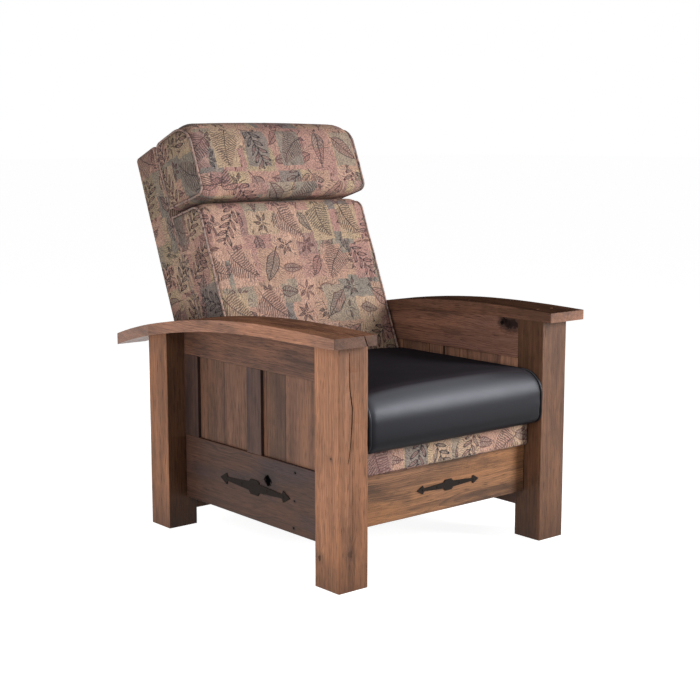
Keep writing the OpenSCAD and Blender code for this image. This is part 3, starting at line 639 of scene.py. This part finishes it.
WOODS = {"post": ("z", POST), "post_knotted": ("z", dict(POST, spots=SPOT_POST)), "arm": ("y", ARM),
         "rail": ("y", RAIL), "rail_knotted": ("y", dict(RAIL, spots=SPOT_RAIL)), "upper_rail": ("y", UPPER),
         "upper_rail_knotted": ("y", dict(UPPER, spots=SPOT_UPPER)), "panel": ("z", PANEL),
         "stile": ("z", STILE), "board": ("x", BOARD),
         "frame": ("y", dict(light=(0.46, 0.30, 0.17), dark=(0.36, 0.21, 0.11), stained=0.0)),
         "plug": ("y", dict(light=(0.36, 0.20, 0.12), dark=(0.24, 0.12, 0.07), stained=0.0, rings=2.0))}
woods = {kind: wood(f"{kind}_wood", grain, **look) for kind, (grain, look) in WOODS.items()}


def dress(o, material, slot, grain=(1.0, 1.0, 0.0), pith=(0, 0, 0), face_shading=(1.0, 1.0)):
    """Gives a piece its material, and the numbers that a wood reads from it. Its slot is not used."""
    o.data.materials.clear()
    o.data.materials.append(material)
    for name, value in (("grain", grain), ("pith", pith), ("face_shading", (*face_shading, 0.0))):
        o[name] = [float(k) for k in value]


# How far cutters stand out of the face (m), and their width at the bottom as a share
PROUD = 0.002
CRACK_FOOT = 0.25
PIT_FOOT = 0.6


def crack(points, normal, width, depth):
    """A cutter along a line on a face: wide in its middle, pinched at its ends."""
    n = Vector(normal)
    verts, faces = [], []
    last = len(points) - 1
    for i, p in enumerate(points):
        p = world(p)
        t = (world(points[min(i + 1, last)]) - world(points[max(i - 1, 0)])).normalized()
        side = n.cross(t)
        w = width * MM * (0.25 + 0.75 * math.sin(math.pi * (i + 0.35) / (last + 0.7)) ** 0.7) / 2
        foot = side * w * CRACK_FOOT
        verts += [p + side * w + n * PROUD, p - side * w + n * PROUD, p - foot - n * depth * MM,
                  p + foot - n * depth * MM]
    for i in range(last):
        for k in range(4):
            m = (k + 1) % 4
            faces.append((i * 4 + k, i * 4 + m, i * 4 + 4 + m, i * 4 + 4 + k))
    faces += [(3, 2, 1, 0), tuple(last * 4 + k for k in range(4))]
    return closed_mesh(verts, faces)


def pit(centre, normal, up, outline, depth):
    """A cutter for a knot hole: a ragged outline in millimetres, narrower at its bottom."""
    n, u = Vector(normal), Vector(up)
    side = n.cross(u)
    c = world(centre)
    verts = [c + (side * a + u * b) * MM + n * PROUD for a, b in outline]
    verts += [c + (side * a + u * b) * MM * PIT_FOOT - n * depth * MM for a, b in outline]
    k = len(outline)
    faces = [tuple(range(k - 1, -1, -1)), tuple(range(k, 2 * k))]
    faces += [(i, (i + 1) % k, k + (i + 1) % k, k + i) for i in range(k)]
    return closed_mesh(verts, faces)


def mark(mesh, value):
    """Sets the attribute that says whether a face lies in a cut."""
    a = mesh.attributes.new("open", "FLOAT", "FACE")
    a.data.foreach_set("value", [value] * len(mesh.polygons))


def closed_mesh(verts, faces):
    mesh = bpy.data.meshes.new("cutter")
    mesh.from_pydata(verts, [], faces)
    b = bmesh.new()
    b.from_mesh(mesh)
    bmesh.ops.recalc_face_normals(b, faces=b.faces)
    b.to_mesh(mesh)
    b.free()
    mark(mesh, 1.0)
    o = bpy.data.objects.new("cutter", mesh)
    show(o)
    return o


def carve(o, cutters):
    """Cuts the cutters out of the piece, and removes them."""
    mark(o.data, 0.0)
    for c in cutters:
        m = o.modifiers.new("cut", "BOOLEAN")
        m.operation = "DIFFERENCE"
        m.solver = "EXACT"
        m.object = c
    dg = bpy.context.evaluated_depsgraph_get()
    cut = bpy.data.meshes.new_from_object(o.evaluated_get(dg))
    o.modifiers.clear()
    o.data = cut
    for c in cutters:
        bpy.data.objects.remove(c)


# Worn boards, in metres and radians: edges that get rounded, the slices across a board, and its unevenness
WELD = 1e-5
FLAT = 0.003
EDGE_LENGTH = 0.006
EDGE_ANGLE = math.radians(28)
SMOOTH_ANGLE = math.radians(42)
SLICE = 0.03
WOBBLES_PER_M = 14
LIFTS_PER_M = 11
TOP_BAND = 0.006


def uneven(q):
    """Three smooth random numbers for a place."""
    return Vector([noise.noise(q + Vector(k)) for k in ((0, 0, 0), (9, 0, 0), (0, 9, 0))])


def timber(node, material, slot, grain, pith, body="frame", bevel=2.0, wobble=0.3, axis=1, cutters=(),
           lift=0.0, face_shading=(1.0, 1.0)):
    """A copy of a board with wear: rounded edges, slightly uneven faces, and its cracks and holes cut in."""
    b = bmesh.new()
    b.from_mesh(nodes[node].data)
    bmesh.ops.remove_doubles(b, verts=b.verts, dist=WELD)
    bmesh.ops.dissolve_limit(b, angle_limit=FLAT, verts=b.verts, edges=b.edges)
    if bevel:
        sharp = [e for e in b.edges if len(e.link_faces) == 2 and e.calc_length() > EDGE_LENGTH
                 and e.is_convex and e.calc_face_angle() > EDGE_ANGLE]
        bmesh.ops.bevel(b, geom=sharp, offset=bevel * MM, segments=3, profile=0.5, affect="EDGES",
                        clamp_overlap=True)
    low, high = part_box(node)
    k = int((high[axis] - low[axis]) / SLICE)
    way = Vector([1.0 if i == axis else 0.0 for i in range(3)])
    for i in range(1, k):
        at = low.copy()
        at[axis] = low[axis] + (high[axis] - low[axis]) * i / k
        bmesh.ops.bisect_plane(b, geom=b.verts[:] + b.edges[:] + b.faces[:], plane_co=at, plane_no=way)
    for v in b.verts:
        move = uneven(v.co * WOBBLES_PER_M + Vector((grain[0] * 3.7, 0, 0)))
        move[axis] = 0
        v.co += move * wobble * MM
        if lift and v.co.z > high.z - TOP_BAND:
            dip = noise.noise(Vector((v.co.y * LIFTS_PER_M, 3.0, grain[0]))) - 0.1
            v.co.z += lift * MM * min(0.0, dip)
    mesh = bpy.data.meshes.new(node + "_worn")
    b.to_mesh(mesh)
    b.free()
    o = bpy.data.objects.new(node + "_worn", mesh)
    show(o)
    if cutters:
        carve(o, cutters)
    o.data.polygons.foreach_set("use_smooth", [True] * len(o.data.polygons))
    o.data.set_sharp_from_angle(angle=SMOOTH_ANGLE)
    flat = o.modifiers.new("flat_faces", "WEIGHTED_NORMAL")
    flat.weight = 90
    flat.keep_sharp = True
    dress(o, material, slot, grain, pith, face_shading)
    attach(o, body)
    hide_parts(node)


# Cracks and the knot hole of the left side
SIDE_CRACK = [(-352.9, 0, 566), (-353.4, 0, 520), (-352.2, 0, 485), (-347.6, 0, 455), (-344.2, 0, 437),
              (-345.6, 0, 402), (-349.0, 0, 357), (-352.5, 0, 330), (-357.6, 0, 307)]
LOWER_CRACK = [(-343.0, 0, 330), (-344.6, 0, 280), (-344.0, 0, 230), (-345.8, 0, 190), (-343.8, 0, 150),
               (-346.0, 0, 110), (-346.8, 0, 80)]
ARM_CRACK = [(-331.6, -28, 612), (-330.4, -28, 601), (-326.6, -28, 592), (-323.8, -28, 585),
             (-321.2, -28, 574)]
TOP_CRACK = [(-331.4, -30, 605), (-333.0, -18, 605.4), (-334.5, -4, 606), (-334.0, 10, 606.6)]
KNOT = [(-5, -13), (4, -16), (9, -8), (7, 1), (12, 8), (4, 15), (-4, 13), (-10, 4), (-11, -6)]
KNOT_PLACE = (RAIL_X, 348.5, 197)
FRONTWARD, LEFTWARD, UPWARD = (0, -1, 0), (-1, 0, 0), (0, 0, 1)
CUTS = {"post_front_left": ((crack, SIDE_CRACK, FRONTWARD, 3.4, 7), (crack, LOWER_CRACK, FRONTWARD, 1.5, 3)),
        "arm_left": ((crack, ARM_CRACK, FRONTWARD, 3.6, 9), (crack, TOP_CRACK, UPWARD, 2.6, 4)),
        "lower_rail_left": ((pit, KNOT_PLACE, LEFTWARD, UPWARD, KNOT, 9),)}
# The boards of a side. The work: slot, middle of the tree, rounding, unevenness, and the axis if it isn't y.
# The looks, left and right: wood, tone, warmth, and the tones of the upper and the front face, which are
# painted shade and light
BOARDS = {
    "post_front": (dict(slot="barnwood", pith=(250, -560, 0), bevel=0, wobble=0.35, axis=2),
                   ("post_knotted", 1.06, 0.0, (1.0, 0.72)), ("post", 0.47, -0.05, (1.0, 1.0))),
    "post_rear": (dict(slot="barnwood", pith=(250, 160, 0), bevel=0, wobble=0.35, axis=2),
                  ("post", 0.92, 0.02, (1.0, 0.24)), ("post", 0.8, 0.0, (1.0, 1.0))),
    "arm": (dict(slot="barnwood", pith=(300, 0, 430), bevel=2.6, wobble=0.25),
            ("arm", 0.97, 0.0, (0.80, 0.46)), ("arm", 0.74, 0.0, (0.34, 1.15))),
    "lower_rail": (dict(slot="weathered_wood", pith=(420, 0, 150), bevel=3.4, wobble=0.5, lift=2.2),
                   ("rail_knotted", 0.50, -0.02, (1.0, 1.0)), ("rail", 0.9, -0.01, (1.0, 1.0))),
    # The right upper rail's high tone is painted light on its inner face
    "upper_rail": (dict(slot="weathered_wood", pith=(380, 0, 620), bevel=1.6, wobble=0.2),
                   ("upper_rail", 0.70, -0.02, (1.0, 1.0)), ("upper_rail_knotted", 1.7, -0.01, (1.0, 1.0)))}
# Stiles and panels between them: wood and share of the side's tone. Per side: tone, warmth, mullion's wood.
# The right side's high tone is painted light on its inner faces
PANELS = {"front_stile": ("panel", 1.05), "mullion": (None, 0.85), "rear_stile": ("stile", 0.6),
          "front_panel": ("panel", 1.0), "rear_panel": ("panel", 0.92)}
PANEL_LOOKS = (0.76, 0.0, "stile"), (2.1, -0.04, "panel")
PANEL_PITH_X = 420
for k, (side, sign, seed) in enumerate((("left", -1, 1), ("right", 1, 12))):
    for i, (part, (work, *looks)) in enumerate(BOARDS.items()):
        kind, tone, warmth, face_shading = looks[k]
        node = f"{part}_{side}"
        x, y, z = work["pith"]
        cutters = [make(*how) for make, *how in CUTS.get(node, ())]
        timber(node, woods[kind], grain=(seed + i, tone, warmth), face_shading=face_shading, cutters=cutters,
               **{**work, "pith": (sign * x, y, z)})
    tone, warmth, mullion_wood = PANEL_LOOKS[k]
    for i, (part, (kind, share)) in enumerate(PANELS.items(), start=len(BOARDS)):
        # Their front-facing sides are darkened as painted shade
        dress(nodes[f"{part}_{side}"], woods[kind or mullion_wood], "weathered_wood",
              (seed + i, share * tone, warmth), (sign * PANEL_PITH_X, 0, 0), (1.0, 0.3))
dress(nodes["rear_rail"], woods["board"], "weathered_wood", (31, 0.5, 0.0), (0, 560, 60))
timber("foot_board", woods["board"], "barnwood", (32, 0.80, -0.01), (0, -470, 150), "footrest", bevel=1.8,
       axis=0)

# Parts that keep their plain shape, by slot: the material, and the grain and pith of a wood
PLAIN = {"wood_plugs": (woods["plug"], (40, 1.0, 0.0)),
         "frame_wood": (woods["frame"], (41, 1.0, 0.0), (0, 0, 100)),
         "black_iron": (iron("black_iron"),), "steel": (steel("satin_black_steel"),),
         "deck_cloth": (deck_cloth("deck_cloth_black"),)}
for row in frame["record"]["subparts"]:
    slot = row["material_slot"]
    if slot in PLAIN:
        material, *numbers = PLAIN[slot]
        dress(nodes[row["node"]], material, slot, *numbers)


# Upholstered pieces: a panel that wraps round a side profile, closed by a flat panel at each side
ARC_STEPS = 12
FEWEST_POINTS = 24


def rounded(points, radii, step):
    """A closed outline with its corners rounded, as evenly spaced points."""
    out = []
    count = len(points)
    for i in range(count):
        p = Vector(points[i])
        a = Vector(points[i - 1]) - p
        b = Vector(points[(i + 1) % count]) - p
        r = radii[i]
        ua, ub = a.normalized(), b.normalized()
        half = ua.angle(ub) / 2
        reach = r / math.tan(half)
        start, end = p + ua * reach, p + ub * reach
        middle = p + (ua + ub).normalized() * (r / math.sin(half))
        a0 = math.atan2(start.y - middle.y, start.x - middle.x)
        a1 = math.atan2(end.y - middle.y, end.x - middle.x)
        sweep = (a1 - a0 + math.pi) % (2 * math.pi) - math.pi
        for k in range(ARC_STEPS + 1):
            t = a0 + sweep * k / ARC_STEPS
            out.append((middle.x + r * math.cos(t), middle.y + r * math.sin(t)))
    pts = np.array(out)
    length = np.r_[0, np.cumsum(np.linalg.norm(np.roll(pts, -1, 0) - pts, axis=1))]
    total = length[-1]
    n = max(FEWEST_POINTS, int(total / step))
    at = np.arange(n) * total / n
    closed = np.vstack([pts, pts[:1]])
    return np.stack([np.interp(at, length, closed[:, i]) for i in (0, 1)], 1), at, total


def normals(loop):
    """Unit vectors that point out of a closed outline."""
    d = np.roll(loop, -1, 0) - np.roll(loop, 1, 0)
    d /= np.linalg.norm(d, axis=1)[:, None]
    n = np.stack([d[:, 1], -d[:, 0]], 1)
    centre = loop.mean(0)
    if ((loop - centre) * n).sum() < 0:
        n = -n
    return n


# In millimetres from a seam: rows of points, how far a welt pulls the seam in and how near to it, how far
# its shadow, the ruck of its puckers and the waves of the panel reach, and where a side panel is full
PANEL_ROWS = np.array([0, 2.5, 6, 10.5, 16, 24, 34, 46])
SIDE_ROWS = [3, 7, 13, 21, 32]
SIDE_SHARES = [0.62, 0.45, 0.28, 0.13]
SEAM_PULL = 1.3
PULL_REACH = 3.0
SHADOW_REACH = 4.5
RUCK_REACH = 16
RUCK_START = 4
WAVE_REACH = 20
SIDE_FULL = 13
# Powers of the curves: how a panel falls to its seam, and how it domes across
FALL_POWER = 2.2
DOME_POWER = 2.6
# Waves along the outline: how many of them, and the puckers' lengths in millimetres
WAVES = (3, 5, 8, 11)
PUCKERS = (46, 37, 61, 29)
WELT_WAVES = (7, 12, 19)
SIDE_UV = 900


def upholster(name, node, place, points, radii, half, crown, belly, edges, material, body, slot="upholstery",
              swell=0.0, welt=0.0, edging=None, step=7.0, seed=0, pucker=0.0, side_in=5.0):
    """place maps (x, n, s) to millimetres. crown(normal) is the panel's rise in its middle for each point of
    the profile, belly the rise of the side panels. edges(normal) gives how far the panel falls to its seam,
    and over which width. side_in is how far the seam lies inside the side."""
    loop, at, total = rounded(points, radii, step)
    out = normals(loop)
    rise = crown(out)
    fall, turn = edges(out)
    rng = np.random.default_rng(seed)

    def waves(numbers):
        return sum(rng.uniform(0.4, 1.0) * np.sin(2 * np.pi * k * at / total + rng.uniform(0, 6.28))
                   for k in numbers) / len(numbers)

    def ruck(right, gap, run, share=1.0):
        """Puckers of the left or right side, this far from its seam, after a run that starts them."""
        ebb = np.exp(-gap / RUCK_REACH) * (1 - np.exp(-run / RUCK_START))
        return gathers[int(right)] * pucker * share * ebb

    wave = waves(WAVES) * 1.3
    gathers = [waves([int(total / k) for k in PUCKERS]) for _ in (0, 1)]
    pull = SEAM_PULL if welt else 0.0
    x_edge = half - side_in
    left = -x_edge + PANEL_ROWS
    middle = np.linspace(left[-1], -left[-1], max(9, int(-2 * left[-1] / (step * 1.6))))[1:-1]
    xs = np.r_[left, middle, -left[::-1]]
    verts, seam_shadow = [], []
    count, cols = len(loop), len(xs)
    for x in xs:
        gap = x_edge - abs(x)
        d = np.clip(gap / turn, 0, 1)
        drop = fall * (1 - d) ** FALL_POWER + pull * math.exp(-gap / PULL_REACH)
        seam_shadow += [math.exp(-gap / SHADOW_REACH) if welt else 0.0] * count
        dome = 1 - (abs(x) / x_edge) ** DOME_POWER
        move = rise * dome - drop + ruck(x > 0, gap, gap + 1)
        shift = wave * math.exp(-gap / WAVE_REACH)
        for i in range(count):
            p = loop[i] + out[i] * move[i]
            verts.append((x + shift[i], p[0], p[1]))
    faces, face_uv = [], []
    for j in range(cols - 1):
        for i in range(count):
            k = (i + 1) % count
            v_next = at[k] if k else total
            faces.append((j * count + i, j * count + k, (j + 1) * count + k, (j + 1) * count + i))
            face_uv.append(((xs[j], at[i]), (xs[j], v_next), (xs[j + 1], v_next), (xs[j + 1], at[i])))

    def add_side(sign, corners, places):
        """A face of a side panel, which turns its other way round on the right side."""
        order = 1 if sign < 0 else -1
        faces.append(corners[:1] + corners[1:][::order])
        face_uv.append([(p[0] * sign + SIDE_UV * sign, p[1]) for p in places[:1] + places[1:][::order]])

    centre = loop.mean(0)
    seam = loop - out * (fall + pull)[:, None]
    reach = np.linalg.norm(seam - centre, axis=1)[:, None]
    for sign, first in ((-1, 0), (1, (cols - 1) * count)):
        ring = list(range(first, first + count))
        last = seam
        steps = [1 - np.minimum(k / reach, 0.3) for k in SIDE_ROWS]
        steps += [np.full_like(reach, f) for f in SIDE_SHARES]
        for f in steps:
            q = centre + (seam - centre) * f
            inset = np.linalg.norm(seam - q, axis=1)
            d = np.clip(inset / SIDE_FULL, 0, 1)
            x = half - side_in * (1 - d) ** FALL_POWER + belly * (1 - f[:, 0] ** 2)
            x = x + ruck(sign > 0, inset, inset, 0.6)
            base = len(verts)
            seam_shadow += list(np.exp(-inset / SHADOW_REACH) if welt else np.zeros(count))
            for i in range(count):
                verts.append((sign * x[i] + wave[i] * math.exp(-inset[i] / WAVE_REACH), q[i][0], q[i][1]))
            new = list(range(base, base + count))
            for i in range(count):
                k = (i + 1) % count
                add_side(sign, (ring[i], new[i], new[k], ring[k]), (last[i], q[i], q[k], last[k]))
            ring, last = new, q
        verts.append((sign * (half + belly), centre[0], centre[1]))
        seam_shadow.append(0.0)
        tip = len(verts) - 1
        for i in range(count):
            k = (i + 1) % count
            add_side(sign, (ring[i], tip, ring[k]), (last[i], centre, last[k]))
    mesh = bpy.data.meshes.new(name)
    mesh.from_pydata([world(place(*v)) for v in verts], [], faces)
    corners = np.array([c for face in face_uv for c in face]) * MM
    mesh.uv_layers.new(name="cloth").data.foreach_set("uv", corners.ravel())
    # The seam number is the strength of the painted shadow along the welts
    mesh.attributes.new("seam", "FLOAT", "POINT").data.foreach_set("value", seam_shadow)
    mesh.polygons.foreach_set("use_smooth", [True] * len(mesh.polygons))
    mesh.update()
    o = bpy.data.objects.new(name, mesh)
    show(o)
    o.data.materials.append(material)
    if swell:
        inflate(o, swell, seams=[*range(count), *range((cols - 1) * count, cols * count)])
    made = [o]
    if welt:
        line = seam + out * (SEAM_PULL + welt * 0.5)
        for sign, tag in ((-1, "left"), (1, "right")):
            bob = waves(WELT_WAVES) * 0.7
            pts = [(sign * (x_edge + welt * 0.5 + bob[i] * 0.5) + wave[i], *(line[i] + out[i] * bob[i] * 0.5))
                   for i in range(count)]
            made.append(closed_tube(f"{name}_welt_{tag}", [world(place(*p)) for p in pts], welt * MM, edging))
    for m in made:
        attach(m, body)
    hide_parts(node)


def closed_tube(name, points, radius, material):
    curve = bpy.data.curves.new(name, "CURVE")
    curve.dimensions = "3D"
    curve.bevel_depth = radius
    curve.bevel_resolution = 3
    spline = curve.splines.new("POLY")
    spline.points.add(len(points) - 1)
    for p, q in zip(spline.points, points):
        p.co = (*q, 1)
    spline.use_cyclic_u = True
    spline.use_smooth = True
    o = bpy.data.objects.new(name, curve)
    show(o)
    curve.materials.append(material)
    return o


CLOTH = dict(vertex_group_mass="pins", use_pressure=True, uniform_pressure_force=4, tension_stiffness=30,
             compression_stiffness=30, bending_stiffness=1.0)
CLOTH_FRAMES = 15
STILL = 1e-9


def inflate(o, limit, seams):
    """Blows the piece up a little as cloth, its seams held, and keeps each point within limit (mm)."""
    rest = np.array([v.co for v in o.data.vertices])
    pins = o.vertex_groups.new(name="pins")
    pins.add(seams, 1.0, "REPLACE")
    cloth = o.modifiers.new("cloth", "CLOTH")
    for k, value in CLOTH.items():
        setattr(cloth.settings, k, value)
    cloth.settings.effector_weights.gravity = 0
    cloth.collision_settings.use_collision = False
    scene = bpy.context.scene
    for f in range(1, CLOTH_FRAMES + 1):
        scene.frame_set(f)
    dg = bpy.context.evaluated_depsgraph_get()
    blown = np.array([v.co for v in o.evaluated_get(dg).data.vertices])
    o.modifiers.remove(cloth)
    o.vertex_groups.clear()
    scene.frame_set(1)
    move = blown - rest
    size = np.linalg.norm(move, axis=1)
    cap = limit * MM
    share = np.where(size > STILL, cap * np.tanh(size / cap) / np.maximum(size, STILL), 0)
    o.data.vertices.foreach_set("co", (rest + move * share[:, None]).ravel())
    o.data.update()


def toward(k, power):
    """How far the outline faces this way: 1 where it points straight along k."""
    return np.clip(k, 0, 1) ** power


def plain_crown(out):
    return 0.8 * np.ones(len(out))


def tight_edge(out):
    return 1.2 * np.ones(len(out)), 6.0 * np.ones(len(out))


patchwork = tapestry("tapestry", 1)
black_leather = leather("black_leather")
WELTED = dict(swell=2.5, welt=3.0, edging=piping("tapestry_cord"))
HALF_BACK = 285.45


# Head pillow: full at its face, and falling at its top toward both sides
def pillow_crown(out):
    return 5.0 * toward(-out[:, 0], 2) + 4.0 * toward(out[:, 1], 2)


def pillow_edge(out):
    top = toward(out[:, 1], 1.5)
    foot = toward(-out[:, 1], 2)
    return 7 + 12 * top + 3 * foot, 17 + 31 * top + 8 * foot


PILLOW = [(-232.3, 553), (-52.3, 570), (-52.3, 779), (-232.3, 779)]
upholster("pillow", "head_pillow", on_back, PILLOW, [26, 12, 38, 74], HALF_BACK, pillow_crown, 2.5,
          pillow_edge, patchwork, "back", seed=3, pucker=2.2, **WELTED)


# Back cushion
def back_crown(out):
    return 7.0 * toward(-out[:, 0], 2)


def back_edge(out):
    top = toward(out[:, 1], 1.5)
    return 7 + 5 * top, 16 + 20 * top


BACK_PAD = [(-198, 20), (-92.3, 20), (-52.3, 562), (-198, 549)]
upholster("back_pad", "back_cushion", on_back, BACK_PAD, [26, 8, 8, 40], HALF_BACK, back_crown, 2.0,
          back_edge, patchwork, "back", seed=5, pucker=2.0, **WELTED)

# Upholstered back frame
BACK_SHELL = [(48, -40), (48, 763), (-52, 763), (-52, 552), (-92, 20), (-92, -40)]
upholster("back_shell", "back_frame", on_back, BACK_SHELL, [6, 6, 6, 4, 4, 6], HALF_BACK, plain_crown, 0.6,
          tight_edge, patchwork, "back", step=9.0, seed=7, side_in=1.5)


# Seat cushion in leather: its rear leans back, along the back
def seat_crown(out):
    return 11.0 * toward(out[:, 1], 3) + 4.0 * toward(-out[:, 0], 2)


def seat_edge(out):
    top = toward(out[:, 1], 2)
    return 5 + 3 * top, 14 + 16 * top


SEAT_LOW, SEAT_HIGH = 314.8, 457.8
SEAT_FRONT = -6
SEAT_HALF = 295
seat_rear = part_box("seat_cushion")[1][1] / MM - FRONT_Y
seat_rear_low = seat_rear - math.tan(RECLINE) * (SEAT_HIGH - SEAT_LOW)
SEAT = [(SEAT_FRONT, SEAT_LOW), (seat_rear_low, SEAT_LOW), (seat_rear, SEAT_HIGH), (SEAT_FRONT, SEAT_HIGH)]
upholster("seat_pad", "seat_cushion", upright, SEAT, [34, 12, 12, 66], SEAT_HALF, seat_crown, 1.0, seat_edge,
          black_leather, "seat", "seat_leather", swell=4, welt=3.2, edging=black_leather, seed=9, pucker=2.6)


# Front band over the seat's front rail, and the pad on the back of the footrest's board
def cover(name, node, radii, body, **more):
    """A tight cover over a node's box."""
    low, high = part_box(node)
    n0, n1, s0, s1 = low[1] / MM - FRONT_Y, high[1] / MM - FRONT_Y, low[2] / MM, high[2] / MM
    upholster(name, node, upright, [(n0, s0), (n1, s0), (n1, s1), (n0, s1)], radii, high[0] / MM, plain_crown,
              0.3, tight_edge, patchwork, body, **more)


cover("front_band", "seat_front_rail", [4, 4, 4, 4], "seat", step=6.0, seed=11, side_in=1.2)
cover("footrest_pad", "foot_pad", [3, 10, 10, 3], "footrest", step=8.0, seed=13, side_in=1.5)


# Floor, light and camera
FLOOR_HALF = 60
FLOOR_GREY = (0.45, 0.45, 0.45, 1)
FLOOR_GLOW = 0.90
AMBIENT = 0.20
WHITE = (1, 1, 1, 1)


def stage():
    """The white floor, and a white world that lights less than it shows."""
    mesh = bpy.data.meshes.new("floor")
    r = FLOOR_HALF
    mesh.from_pydata([(-r, -r, 0), (r, -r, 0), (r, r, 0), (-r, r, 0)], [], [(0, 1, 2, 3)])
    floor = bpy.data.objects.new("floor", mesh)
    show(floor)
    s = Shader(bpy.data.materials.new("floor_white"), "AddShader")
    s.put(s.val("BsdfDiffuse", {0: FLOOR_GREY}), s.surface.inputs[0])
    s.put(s.val("Emission", {0: WHITE, 1: s.seen(0.0, FLOOR_GLOW)}), s.surface.inputs[1])
    mesh.materials.append(s.owner)
    s = Shader(bpy.data.worlds.new("studio"), "Background", "OutputWorld")
    s.put(WHITE, s.surface.inputs[0])
    s.put(s.seen(AMBIENT, 1.0), s.surface.inputs[1])
    bpy.context.scene.world = s.owner


def area(name, place, target, size, power):
    """A rectangular lamp at a place in metres, aimed at a target, with its power in watts."""
    lamp = bpy.data.lights.new(name, "AREA")
    lamp.shape = "RECTANGLE"
    lamp.size, lamp.size_y = size
    lamp.energy = power
    o = bpy.data.objects.new(name, lamp)
    show(o)
    o.location = place
    o.rotation_euler = (Vector(target) - Vector(place)).to_track_quat("-Z", "Y").to_euler()
    o.visible_camera = False


stage()
area("key", (1.95, -2.75, 1.45), (0, 0, 0.55), (0.85, 1.45), 128)
area("left_fill", (-1.5, -1.1, 0.9), (-0.2, -0.2, 0.5), (0.8, 0.8), 14)
area("low_fill", (-1.5, 0.1, 0.2), (-0.4, 0.1, 0.3), (0.9, 0.5), 6)
area("rear_fill", (0.6, 3.0, 1.3), (0, 0.3, 0.6), (1.4, 1.2), 30)

cam = bpy.data.cameras.new("camera")
cam.sensor_width = SENSOR
cam.lens = CAM_FOCAL_PX / PHOTO_PX * SENSOR
cam.clip_start, cam.clip_end = CAM_CLIP
cam_object = bpy.data.objects.new("camera", cam)
show(cam_object)
cy, sy, cp, sp = math.cos(CAM_YAW), math.sin(CAM_YAW), math.cos(CAM_PITCH), math.sin(CAM_PITCH)
ahead = Vector((sy * cp, cy * cp, -sp))
right = Vector((cy, -sy, 0))
up = right.cross(ahead)
cr, sr = math.cos(CAM_ROLL), math.sin(CAM_ROLL)
right, up = cr * right + sr * up, -sr * right + cr * up
cam_object.matrix_world = Matrix.Translation(world(CAM_PLACE)) @ Matrix(
    [[right[i], up[i], -ahead[i]] for i in range(3)]).to_4x4()
bpy.context.scene.camera = cam_object
bpy.context.scene.view_settings.view_transform = "Standard"
